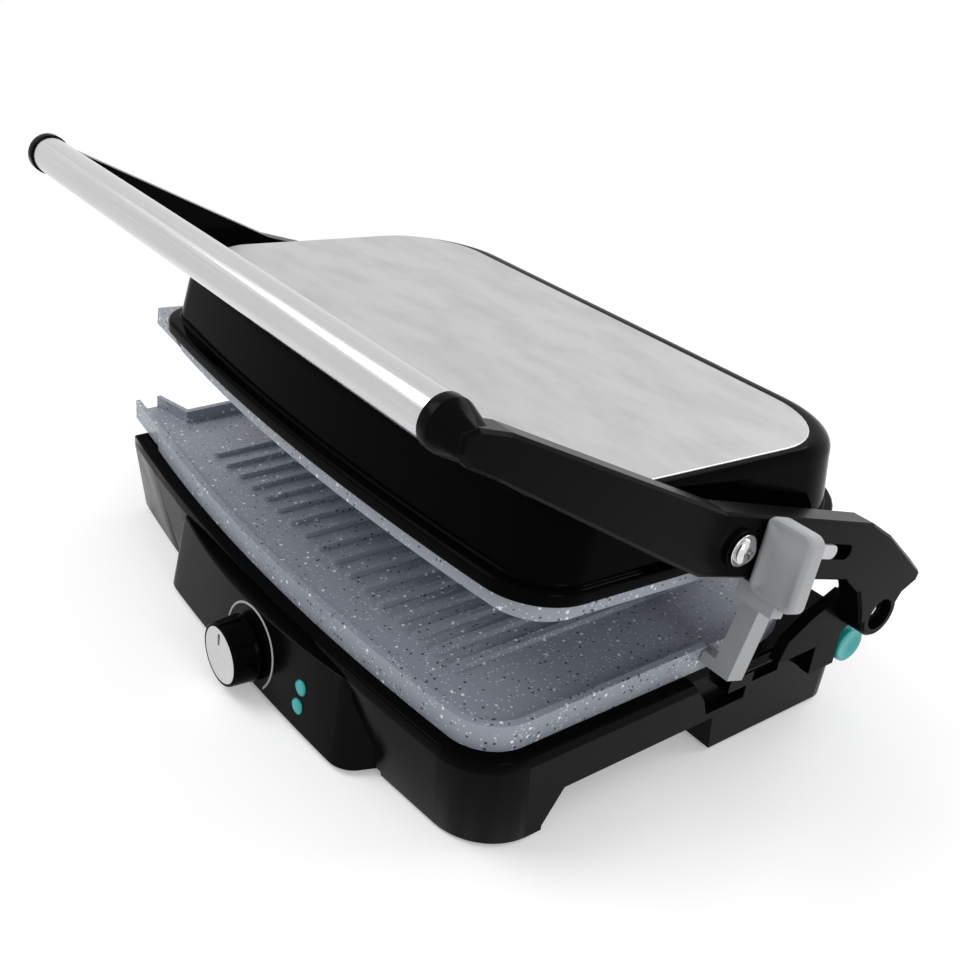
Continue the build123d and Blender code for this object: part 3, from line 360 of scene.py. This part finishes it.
FINISHES = {
    satin_black: ("base_housing", "base_cover", "control_panel"),
    gloss_black: ("base_bezel", "lid_shell", "temperature_knob"),
    arm_black: ("left_arm", "right_arm", "hinge_towers"),
    rubber: ("foot_pads", "cord_gland"),
    print_grey: ("scale_ring",),
    turquoise: ("power_lens", "ready_lens", "release_button"),
    board: ("lamp_board",),
    white_plastic: ("thermostat", "terminal_block", "hinge_bushes", "pivot_bushes"),
    plate_coat: ("lower_plate", "upper_plate"),
    sheet_metal: ("lower_reflector", "upper_reflector"),
    heater: ("lower_element", "upper_element"),
    bar_steel: ("handle_tube",),
    lid_steel: ("lid_panel",),
    knob_steel: ("knob_cap",),
    latch_plastic: ("latch",),
    chrome: (
        "cover_screws", "thermal_fuse", "release_spring", "hinge_pins", "hinge_clips", "handle_rod",
        "pivot_screws", "pivot_washers", "latch_backplate", "latch_screws", "thermostat_shaft",
    ),
}
# Roundness of the sharp edges of the nodes that stay in sight
SOFT_EDGES = {
    "base_housing": 0.9, "base_bezel": 0.8, "left_arm": 0.7, "right_arm": 0.7, "foot_pads": 0.4,
    "base_cover": 0.4, "cord_gland": 0.6, "hinge_pins": 0.4, "pivot_washers": 0.2, "latch_backplate": 0.3,
}


def soften(obj, width):
    """rounds the sharp edges of an object by a modifier"""
    bevel = obj.modifiers.new("soft_edges", "BEVEL")
    bevel.width = width * MM
    bevel.segments = 3
    bevel.limit_method = "ANGLE"
    bevel.angle_limit = radians(30)
    bevel.harden_normals = True
    bevel.miter_outer = "MITER_ARC"


for finish, names in FINISHES.items():
    for name in names:
        nodes[name].data.materials.clear()
        nodes[name].data.materials.append(finish)
for name, width in SOFT_EDGES.items():
    weld = nodes[name].modifiers.new("weld", "WELD")
    weld.merge_threshold = 0.001 * MM
    flat = nodes[name].modifiers.new("flat_faces", "DECIMATE")
    flat.decimate_type = "DISSOLVE"
    flat.angle_limit = radians(1.0)
    soften(nodes[name], width)


# Outlines and rings of points, which are joined into closed skins
def arc(x, y, radius, start, end, steps=ARC_STEPS):
    """points on an arc from one angle to another, both ends with it"""
    angles = [start + (end - start) * i / steps for i in range(steps + 1)]
    return [(x + radius * cos(a), y + radius * sin(a)) for a in angles]


def capsule(x, y, half_width, half_length, upright=True):
    """outline with round ends"""
    run = half_length - half_width
    ends = arc(0, run, half_width, 0, pi, 8) + arc(0, -run, half_width, pi, 2 * pi, 8)
    return [(x + a, y + b) if upright else (x + b, y + a) for a, b in ends]


def rectangle(left, low, right, high):
    """outline of a rectangle"""
    return [(left, low), (right, low), (right, high), (left, high)]


def plan(half, front, rear, radii, grow, z):
    """ring seen from above: bowed front and rounded corners, grown on all sides"""
    near_radius, far_radius = (radius + grow for radius in radii)
    half, front, rear = half + grow, front - grow, rear + grow
    big = (half**2 + BOW**2) / (2 * BOW)
    middle = front + big
    near_y = middle - sqrt((big - near_radius) ** 2 - (half - near_radius) ** 2)
    turn = atan2(near_y - middle, half - near_radius)
    points = arc(half - near_radius, near_y, near_radius, turn, 0)
    points += arc(half - far_radius, rear - far_radius, far_radius, 0, pi / 2)
    points += arc(far_radius - half, rear - far_radius, far_radius, pi / 2, pi)
    points += arc(near_radius - half, near_y, near_radius, pi, pi - turn)
    points += arc(0, middle, big, pi - turn, 2 * pi + turn, 2 * ARC_STEPS)[1:-1]
    return [(x, y, z) for x, y in points]


def skin(rings, capped=True):
    """vertices and faces of rings joined in order, closed by a face at both ends"""
    count = len(rings[0])
    vertices = [point for ring in rings for point in ring]
    faces = []
    for r in range(len(rings) - 1):
        for i in range(count):
            j = (i + 1) % count
            faces.append((r * count + i, r * count + j, (r + 1) * count + j, (r + 1) * count + i))
    if capped:
        faces.append(tuple(range(count)))
        faces.append(tuple(range((len(rings) - 1) * count, len(rings) * count)))
    return vertices, faces


def turned(profile, centre, along, steps=64):
    """vertices and faces of a profile of distance and radius turned about an axis"""
    along = Vector(along).normalized()
    across = along.orthogonal().normalized()
    third = along.cross(across)
    rings = []
    for distance, radius in profile:
        middle = Vector(centre) + along * distance
        rings.append([
            middle + (across * cos(2 * pi * i / steps) + third * sin(2 * pi * i / steps)) * radius
            for i in range(steps)
        ])
    return skin(rings, capped=profile[0] != profile[-1])


def prism(points, low, high, axis="X"):
    """vertices and faces of an outline pushed along an axis"""
    place = {
        "X": lambda a, b, level: (level, a, b),
        "Y": lambda a, b, level: (a, level, b),
        "Z": lambda a, b, level: (a, b, level),
    }[axis]
    return skin([[place(a, b, level) for a, b in points] for level in (low, high)])


def solid(name, shape, move=REST):
    """closed mesh object from vertices and faces in millimetres"""
    mesh = bpy.data.meshes.new(name)
    mesh.from_pydata([(move @ Vector(v)) * MM for v in shape[0]], [], shape[1])
    work = bmesh.new()
    work.from_mesh(mesh)
    bmesh.ops.remove_doubles(work, verts=work.verts, dist=0.0005 * MM)
    bmesh.ops.recalc_face_normals(work, faces=work.faces)
    work.to_mesh(mesh)
    work.free()
    obj = bpy.data.objects.new(name, mesh)
    bpy.context.scene.collection.objects.link(obj)
    return obj


def combine(obj, operation, shape, move=REST):
    """joins a shape to an object or cuts it out, and bakes the result"""
    tool = solid("tool", shape, move)
    change = obj.modifiers.new("combine", "BOOLEAN")
    change.operation = operation
    change.solver = "EXACT"
    change.object = tool
    bpy.context.view_layer.update()
    baked = bpy.data.meshes.new_from_object(obj.evaluated_get(bpy.context.evaluated_depsgraph_get()))
    obj.modifiers.clear()
    obj.data = baked
    bpy.data.objects.remove(tool)


def dress(obj, body, slot, material, *replaced, edges=0.0, angle=35):
    """finish of a piece: smooth faces, rounded edges, material, body and the nodes it stands for"""
    obj.data.materials.clear()
    obj.data.materials.append(material)
    for face in obj.data.polygons:
        face.use_smooth = True
        face.material_index = 0
    if edges:
        soften(obj, edges)
    else:
        obj.data.set_sharp_from_angle(angle=radians(angle))
        weighted = obj.modifiers.new("even_faces", "WEIGHTED_NORMAL")
        weighted.keep_sharp = True
    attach(obj, body)
    if replaced:
        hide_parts(*replaced)


# Plates: rim, dish and skirt in one skin, with spout and ribs joined on
def plate_ring(grow, z):
    """ring of the plates' outline, grown or shrunk"""
    return plan(PLATE_HALF, PLATE_FRONT, PLATE_REAR, (PLATE_NEAR_RADIUS, PLATE_FAR_RADIUS), grow, z)


def spout_corners(inset, reach):
    """plan corners of the grease spout"""
    tip = -PLATE_HALF - reach
    root = -PLATE_HALF + PLATE_NEAR_RADIUS
    wall = -PLATE_HALF + RIM_WALL + inset
    near = PLATE_FRONT + BOW + inset
    far = near + SPOUT_WIDTH - 2 * inset
    return [
        (root, near - SPOUT_ROOT_DROP), (tip, near + SPOUT_TIP_NEAR), (tip, far + SPOUT_TIP_FAR),
        (wall, far + SPOUT_FLARE), (root, far + SPOUT_FLARE),
    ]


def ribs(floor_z, up):
    """vertices and faces of all ribs of a plate, rooted a little under its floor"""
    vertices, faces = [], []
    for i in range(RIBS):
        x = (i - (RIBS - 1) / 2) * RIB_PITCH
        foot = capsule(x, 0, RIB_HALF_WIDTH, RIB_HALF_LENGTH)
        crest = capsule(x, 0, RIB_HALF_WIDTH - RIB_DRAFT, RIB_HALF_LENGTH - RIB_DRAFT)
        more, sides = skin([
            [(a, b, floor_z - up) for a, b in foot],
            [(a, b, floor_z) for a, b in foot],
            [(a, b, floor_z + up * RIB_HEIGHT) for a, b in crest],
        ])
        faces += [tuple(v + len(vertices) for v in side) for side in sides]
        vertices += more
    return vertices, faces


def grill_plate(name, levels, spout_back, move):
    """coated plate, upright or upside down by the order of its levels"""
    skirt_z, under_z, floor_z, rim_z = levels
    up = 1 if rim_z > skirt_z else -1
    plate = solid(name, skin([
        plate_ring(-SKIRT, under_z), plate_ring(-SKIRT, skirt_z),
        plate_ring(0, skirt_z), plate_ring(0, rim_z),
    ]), move)
    combine(plate, "UNION", prism(spout_corners(0, SPOUT_REACH), spout_back, rim_z, "Z"), move)
    dish = skin([plate_ring(-RIM_WALL - DISH_DRAFT, floor_z), plate_ring(-RIM_WALL, rim_z + up)])
    combine(plate, "DIFFERENCE", dish, move)
    channel = prism(spout_corners(SPOUT_WALL, SPOUT_REACH + 1), floor_z, rim_z + up, "Z")
    combine(plate, "DIFFERENCE", channel, move)
    combine(plate, "UNION", ribs(floor_z, up), move)
    return plate


lower = grill_plate("grill_plate_lower", LOWER_LEVELS, LOWER_SPOUT_BACK, REST)
dress(lower, "base", "plate_coating", plate_coat, "lower_plate", edges=PLATE_EDGE)
upper = grill_plate("grill_plate_upper", UPPER_LEVELS, UPPER_SPOUT_BACK, LID_MOVE)
dress(upper, "lid", "plate_coating", plate_coat, "upper_plate", edges=PLATE_EDGE)


# Lid: hollow shell with rounded flange and shoulder, and a steel sheet on top
def lid_ring(level, inset):
    """ring of the lid's wall and shoulder at a level above its flange"""
    wall = min(level / LID_WALL, 1.0)
    rise = max(level - LID_WALL, 0.0) / LID_SHOULDER
    turn = 1 - sqrt(max(1 - rise**2, 0.0))
    half = PLATE_HALF + LID_OUT - SIDE_DRAFT * wall - SHOULDER_SIDE * turn
    front = PLATE_FRONT + FRONT_DRAFT * wall + SHOULDER_FRONT * turn
    rear = PLATE_REAR - LID_REAR_IN - SIDE_DRAFT * wall - SHOULDER_REAR * turn
    return plan(half, front, rear, LID_RADII, -inset, FLANGE_TOP + level)


def flange_ring(grow, z):
    """ring of the lid's flange"""
    front = PLATE_FRONT - FLANGE_OUT
    return plan(PLATE_HALF + FLANGE_OUT, front, PLATE_REAR + FLANGE_REAR_OUT, FLANGE_RADII, grow, z)


def sheet_ring(inset, z):
    """ring of the steel sheet on the lid"""
    return plan(SHEET_HALF, PLATE_FRONT + SHEET_FRONT_IN, PLATE_REAR - SHEET_REAR_IN, SHEET_RADII, -inset, z)


shares = (0, 0.25, 0.45, 0.6, 0.72, 0.82, 0.9, 0.96, 1)
inner_shoulder = LID_SHOULDER - SHELL_WALL
mouth_top = FLANGE_LOW + MOUTH_DEPTH
inner = [lid_ring(LID_WALL + inner_shoulder * share, SHELL_WALL) for share in reversed(shares)]
inner += [
    lid_ring(0, SHELL_WALL), plate_ring(-LIP_INSET, FLANGE_TOP), plate_ring(-LIP_INSET, mouth_top),
    plate_ring(-MOUTH_INSET, mouth_top), plate_ring(-MOUTH_INSET, FLANGE_LOW),
]
flange = [
    flange_ring(grow, FLANGE_LOW + rise)
    for grow, rise in ((-1.0, 0), (-0.3, 0.3), (0, 1.0), (0, 4.8), (-0.25, 5.5), (-0.8, 6.1), (-1.6, 6.5))
]
outer = [lid_ring(level, inset) for level, inset in ((0, -1.0), (0.3, -0.3), (1.2, 0))]
outer += [lid_ring(LID_WALL + LID_SHOULDER * share, 0) for share in shares]
cover = solid("lid_cover", skin(inner + flange + outer), LID_MOVE)
dress(cover, "lid", "gloss_black", gloss_black, "lid_shell", angle=50)
sheet = solid("lid_sheet", skin([
    sheet_ring(inset, LID_TOP + rise)
    for inset, rise in ((0.3, 0), (0, 0.15), (0, 0.45), (0.12, 0.66), (0.45, 0.8))
]), LID_MOVE)
dress(sheet, "lid", "brushed_steel", lid_steel, "lid_panel", angle=60)

# Pivots: a boss on each side of the lid and the screw in it
boss_profile = (
    (-5, 3.05), (-5, 8.6), (-4.6, 9.0), (11.5, 9.0), (12.2, 8.6), (12.5, 8.0), (12.5, 3.05), (-5, 3.05),
)
screw_profile = (
    (0, 0), (0, 3.0), (35.3, 3.0), (35.3, 5.0), (35.6, 5.2), (36.4, 5.1), (37.2, 4.3), (37.6, 3.0), (37.7, 0),
)
y, z = PIVOT.y, PIVOT.z
for side, label in SIDES:
    outward = (side, 0, 0)
    boss = solid(f"pivot_boss_{label}", turned(boss_profile, (side * BOSS_X, y, z), outward), LID_MOVE)
    dress(boss, "lid", "gloss_black", satin_black, "lid_shell", angle=40)
    screw = solid(f"pivot_screw_{label}", turned(screw_profile, (side * SCREW_X, y, z), outward), LID_MOVE)
    recess_x = sorted(side * x for x in RECESS_DEPTH_X)
    for wide, high in ((RECESS_LONG, RECESS_WIDE), (RECESS_WIDE, RECESS_LONG)):
        slot = rectangle(y - wide / 2, z - high / 2, y + wide / 2, z + high / 2)
        combine(screw, "DIFFERENCE", prism(slot, *recess_x), LID_MOVE)
    dress(screw, "lid", "bright_steel", chrome, "pivot_screws", angle=30)

# Steel bar with rolled ends
bar_length = 2 * BAR_END
bar_bore = BAR_RADIUS - BAR_WALL
bar_profile = (
    (0, bar_bore), (0, BAR_RADIUS - BAR_ROLL), (BAR_ROLL, BAR_RADIUS), (bar_length - BAR_ROLL, BAR_RADIUS),
    (bar_length, BAR_RADIUS - BAR_ROLL), (bar_length, bar_bore), (0, bar_bore),
)
bar_start = (-BAR_END, BAR_CENTRE.y, BAR_CENTRE.z)
bar = solid("handle_bar", turned(bar_profile, bar_start, (1, 0, 0), steps=96), HANDLE_MOVE)
dress(bar, "handle", "brushed_steel", bar_steel, "handle_tube")


# Latch
def paddle_ring(inset, depth):
    """ring across the paddle at a depth behind its front"""
    radius = max(PADDLE_RADIUS - inset, PADDLE_LEAST_RADIUS)
    near = inset + radius
    right = PADDLE_WIDTH - inset - radius
    top = PADDLE_HEIGHT - inset - radius
    corners = ((right, near, -pi / 2), (right, top, 0), (near, top, pi / 2), (near, near, pi))
    flat = [point for x, z, start in corners for point in arc(x, z, radius, start, start + pi / 2, 6)]
    return [PADDLE_LOW + Vector((x, depth - PADDLE_LEAN * z / PADDLE_HEIGHT, z)) for x, z in flat]


# Inset and depth of the paddle's rings, from its back to the middle of its dished front
paddle_steps = (
    (1.6, 9.0), (0.5, 8.7), (0, 7.9), (0, 1.6), (0.3, 0.75), (0.9, 0.2), (1.7, 0), (2.4, 0.1), (3.2, 0.35),
    (4.2, 0.62), (5.6, 0.85), (7.4, 0.98), (9.4, 1.02),
)
paddle_rings = [paddle_ring(inset, depth) for inset, depth in paddle_steps]
paddle = solid("latch_paddle", skin(paddle_rings), HANDLE_MOVE)
dress(paddle, "latch_slider", "latch_grey", latch_plastic, "latch", angle=60)
neck = [
    (SHANK_INNER, SHANK_NEAR), (SHANK_INNER, SHANK_FAR), (SHANK_OUTER, SHANK_FAR), (NECK_OUTER, NECK_BEND),
    (NECK_OUTER, NECK_FRONT), (NECK_INNER, NECK_FRONT),
]
hook = solid("latch_hook", prism(neck, NECK_LOW, NECK_TOP, "Z"), HANDLE_MOVE)
for outline in (
    rectangle(SHANK_INNER, TOE_LOW, SHANK_OUTER, SHANK_TOP), rectangle(TOE_TIP, TOE_LOW, TOE_ROOT, TOE_TOP),
):
    combine(hook, "UNION", prism(outline, SHANK_NEAR, SHANK_FAR, "Y"), HANDLE_MOVE)
dress(hook, "latch_slider", "latch_grey", latch_plastic, "latch", edges=1.6)
tongue_outline = capsule(*TONGUE_MIDDLE, TONGUE_HALF_HEIGHT, TONGUE_HALF_LENGTH, upright=False)
tongue = solid("latch_tongue", prism(tongue_outline, *TONGUE_X), HANDLE_MOVE)
dress(tongue, "latch_slider", "latch_grey", tongue_plastic, "latch", edges=0.5)


# Hinge towers: leg, gusset towards the front, knuckle, root in the housing and bore of the bush
def side_outline(corners):
    """outline in Y and Z from distances forward of the hinge and heights above it"""
    return [(HINGE.y - forward, HINGE.z + up) for forward, up in corners]


def disc_profile(radius, length):
    """profile of a disc"""
    return ((0, 0), (0, radius), (length, radius), (length, 0))


for side, label in SIDES:
    tower_x = sorted(side * x for x in TOWER_X)
    root_x = sorted(side * x for x in ROOT_X)
    outward = (side, 0, 0)
    tower = solid(f"hinge_tower_{label}", prism(side_outline(LEG), *tower_x))
    combine(tower, "UNION", prism(side_outline(GUSSET), *tower_x))
    knuckle_end = (side * TOWER_X[0], HINGE.y, HINGE.z)
    combine(tower, "UNION", turned(disc_profile(KNUCKLE_RADIUS, KNUCKLE_LENGTH), knuckle_end, outward))
    combine(tower, "UNION", prism(side_outline(ROOT), *root_x))
    bore_end = (side * BORE_X, HINGE.y, HINGE.z)
    combine(tower, "DIFFERENCE", turned(disc_profile(BORE_RADIUS, BORE_LENGTH), bore_end, outward))
    dress(tower, "base", "housing_black", arm_black, "hinge_towers", edges=0.7)


# Control panel: bowed front that leans forward to its foot, narrower foot on the left
def panel_value(sizes, height):
    """size of the control panel at a height, between its foot and its top"""
    foot, top = sizes
    return foot + (top - foot) * (height - PANEL_LOW) / (PANEL_TOP - PANEL_LOW)


def panel_ring(height, inset):
    """ring of the control panel at a height"""
    right = panel_value(PANEL_RIGHT, height) - inset
    left = panel_value(PANEL_LEFT, height) - inset
    bow = panel_value(PANEL_BOW, height)
    corner = panel_value(PANEL_CORNER, height)
    flare = panel_value(PANEL_FLARE, height)
    front = PLATE_FRONT - panel_value(PANEL_REACH, height) + inset
    big = (right**2 + bow**2) / (2 * bow)
    middle = front + big
    ends = []
    for side, half in ((1, right), (-1, left)):
        near_y = middle - sqrt((big - corner) ** 2 - (half - corner) ** 2)
        turn = atan2(near_y - middle, half - corner)
        end = arc(half - corner, near_y, corner, turn, -0.25, 8) + [(half + flare, PANEL_BACK)]
        ends.append([(side * x, y) for x, y in end])
    run = arc(0, middle, big, -pi / 2 - 0.9 * left / big, -pi / 2 + 0.9 * right / big, 24)
    return [(x, y, height) for x, y in run[1:-1] + ends[0] + ends[1][::-1]]


front_panel = solid("front_panel", skin([
    panel_ring(height, inset)
    for height, inset in (
        (PANEL_LOW, 0.8), (PANEL_LOW + 0.3, 0.25), (PANEL_LOW + 1, 0),
        (PANEL_TOP - 0.8, 0), (PANEL_TOP - 0.25, 0.25), (PANEL_TOP, 0.8),
    )
]))
dress(front_panel, "base", "housing_black", satin_black, "control_panel", angle=50)


# Knob: barrel with rounded rim, steel disc and short dark pointer
def middle(low, high):
    """middle of a node's box in millimetres"""
    return [(a + b) / 2 / MM for a, b in zip(low, high)]


low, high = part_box("temperature_knob")
knob_x, _, knob_z = middle(low, high)
knob_back = high[1] / MM
knob_length = (high[1] - low[1]) / MM
disc_seat = knob_length - DISC_DEPTH
knob_end = (knob_x, knob_back, knob_z)
barrel = solid("knob_barrel", turned((
    (disc_seat - 3.4, 0), (disc_seat - 3.4, 3.0), (0, 3.0), (0, 15.7), (0.5, 16.2), (1.8, 16.1), (2.3, 15.75),
    (knob_length - 1.3, 15.1), (knob_length - 0.5, 14.9), (knob_length - 0.1, 14.5), (knob_length, 14.1),
    (knob_length - 0.1, 13.8), (disc_seat, 13.7), (disc_seat, 0),
), knob_end, (0, -1, 0), steps=96))
dress(barrel, "knob", "gloss_black", gloss_black, "temperature_knob", angle=40)
disc = solid("knob_disc", turned((
    (disc_seat, 0), (disc_seat, 13.65), (disc_seat + 0.5, 13.6), (disc_seat + 0.8, 13.2),
    (disc_seat + 0.95, 12.0), (disc_seat + 1.1, 8.0), (disc_seat + 1.17, 4.0), (disc_seat + 1.2, 0),
), knob_end, (0, -1, 0), steps=96))
dress(disc, "knob", "brushed_steel", knob_steel, "knob_cap", angle=40)
mark_y = knob_back - disc_seat
mark = capsule(knob_x, knob_z + POINTER_RISE, POINTER_HALF_WIDTH, POINTER_HALF_LENGTH)
pointer = solid("knob_pointer", prism(mark, mark_y - 0.6, mark_y - 1.2, "Y"))
dress(pointer, "knob", "gloss_black", pointer_black, "knob_cap", edges=0.1)

# Domed lenses of the lamps
for name in ("power_lens", "ready_lens"):
    low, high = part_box(name)
    x, _, z = middle(low, high)
    depth = (high[1] - low[1]) / MM
    lens = solid(name + "_dome", turned((
        (0, 0), (0, 3.75), (depth - 1.0, 3.75), (depth - 0.55, 3.5), (depth - 0.25, 2.9), (depth - 0.08, 1.9),
        (depth - 0.02, 0.9), (depth, 0),
    ), (x, high[1] / MM, z), (0, -1, 0), steps=48))
    dress(lens, "base", "turquoise", turquoise, name, angle=50)

# Release button: hollow, with a dished face
low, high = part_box("release_button")
_, y, z = middle(low, high)
length = (high[0] - low[0]) / MM
push = solid("release_push", turned((
    (0, 7.2), (0, 9.0), (length - 1.3, 9.0), (length - 0.4, 8.7), (length, 8.0), (length - 0.1, 7.2),
    (length - 0.9, 5.4), (length - 1.3, 3.0), (length - 1.4, 0), (length - 3.0, 0), (length - 3.0, 7.2),
    (0, 7.2),
), (low[0] / MM, y, z), (1, 0, 0)))
dress(push, "button", "turquoise", turquoise, "release_button", angle=40)

# Coil spring of the release button, made at its rest length with a mesh of its own
low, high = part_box("release_spring")
_, y, z = middle(low, high)
start, end = low[0] / MM + WIRE, high[0] / MM - WIRE
coil = []
for i in range(TURNS * COIL_STEPS + 1):
    angle = 2 * pi * i / COIL_STEPS
    outward = Vector((0, cos(angle), sin(angle)))
    centre = Vector((start + (end - start) * i / (TURNS * COIL_STEPS), y, z)) + outward * (COIL_RADIUS - WIRE)
    turns = [2 * pi * j / WIRE_SIDES for j in range(WIRE_SIDES)]
    coil.append([centre + outward * WIRE * cos(a) + Vector((WIRE * sin(a), 0, 0)) for a in turns])
spring = solid("release_coil", skin(coil))
dress(spring, "base", "bright_steel", chrome, "release_spring", angle=60)
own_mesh(spring)

# Camera at the photograph's viewing angle
camera = bpy.data.objects.new("camera", bpy.data.cameras.new("camera"))
bpy.context.scene.collection.objects.link(camera)
camera.location = (0.41474, -0.34075, 0.36480)
camera.rotation_euler = (radians(63.472), radians(-3.9485), radians(55.8516))
camera.data.sensor_width = 36
camera.data.lens = 46.313
camera.data.shift_x = 0.09447
camera.data.shift_y = -0.05635
camera.data.clip_start = 0.01
bpy.context.scene.camera = camera
bpy.context.scene.view_settings.view_transform = "Standard"

# Floor and world look white to the camera and in reflections, and light the object less than that
FLOOR_COLOUR = (0.86, 0.86, 0.86)
FLOOR_REACH = 6
FLOOR_LIFT = 0.26
FLOOR_FADE = (0.24, 0.46)
FLOOR_GAP = 0.3 * MM
WORLD_LIGHT = 0.55
WHITE = 1.0


def seen_directly(tree):
    """1 for rays of the camera and those seen by reflection or through glass, else 0"""
    path = tree.nodes.new("ShaderNodeLightPath")
    total = path.outputs["Is Camera Ray"]
    for ray in ("Is Glossy Ray", "Is Transmission Ray"):
        either = tree.nodes.new("ShaderNodeMath")
        either.operation = "MAXIMUM"
        tree.links.new(total, either.inputs[0])
        tree.links.new(path.outputs[ray], either.inputs[1])
        total = either.outputs[0]
    return total


def floor_material():
    """pale floor that keeps the shadow of the object and is plain white further out"""
    made = Shader("floor", FLOOR_COLOUR, 0.9, Specular_IOR_Level=0.1)
    seen = seen_directly(made.tree)
    output = made.tree.nodes["Material Output"]
    lift = made.node("ShaderNodeEmission")
    made.link(made.math("MULTIPLY", seen, FLOOR_LIFT), lift.inputs["Strength"])
    lit = made.node("ShaderNodeAddShader")
    made.link(made.bsdf.outputs[0], lit.inputs[0])
    made.link(lift.outputs[0], lit.inputs[1])
    away = made.node("ShaderNodeVectorMath", operation="LENGTH")
    made.link(made.coords.outputs["Object"], away.inputs[0])
    white = made.node("ShaderNodeEmission", Strength=WHITE)
    both = made.node("ShaderNodeMixShader")
    fade = made.span(away.outputs["Value"], 0, 1, *FLOOR_FADE)
    made.link(made.math("MULTIPLY", seen, fade), both.inputs[0])
    made.link(lit.outputs[0], both.inputs[1])
    made.link(white.outputs[0], both.inputs[2])
    made.link(both.outputs[0], output.inputs["Surface"])
    return made.mat


floor_mesh = bpy.data.meshes.new("floor")
floor_corners = rectangle(-FLOOR_REACH, -FLOOR_REACH, FLOOR_REACH, FLOOR_REACH)
floor_mesh.from_pydata([(x, y, 0) for x, y in floor_corners], [], [(0, 1, 2, 3)])
floor = bpy.data.objects.new("floor", floor_mesh)
bpy.context.scene.collection.objects.link(floor)
floor.location.z = -FLOOR_GAP
floor_mesh.materials.append(floor_material())

world = bpy.data.worlds.new("world")
bpy.context.scene.world = world
world.use_nodes = True
background = world.node_tree.nodes["Background"]
strength = world.node_tree.nodes.new("ShaderNodeMapRange")
world.node_tree.links.new(seen_directly(world.node_tree), strength.inputs["Value"])
strength.inputs["To Min"].default_value = WORLD_LIGHT
strength.inputs["To Max"].default_value = WHITE
world.node_tree.links.new(strength.outputs["Result"], background.inputs["Strength"])
background.inputs["Color"].default_value = (1, 1, 1, 1)


def lamp(name, place, target, width, height, power):
    """soft rectangular studio light aimed at a point, with sizes in metres and power in watts"""
    data = bpy.data.lights.new(name, "AREA")
    data.shape = "RECTANGLE"
    data.size = width
    data.size_y = height
    data.energy = power
    made = bpy.data.objects.new(name, data)
    bpy.context.scene.collection.objects.link(made)
    made.location = place
    made.rotation_mode = "QUATERNION"
    made.rotation_quaternion = (Vector(target) - Vector(place)).to_track_quat("-Z", "Y")


lamp("key", place=(-0.9, -0.9, 1.5), target=(0, 0, 0.08), width=1.2, height=1.0, power=16)
lamp("back", place=(0.3, 1.5, 1.3), target=(0, 0, 0.1), width=1.6, height=0.8, power=14)
lamp("side", place=(1.6, -0.1, 0.8), target=(0, 0, 0.1), width=0.5, height=0.8, power=6)
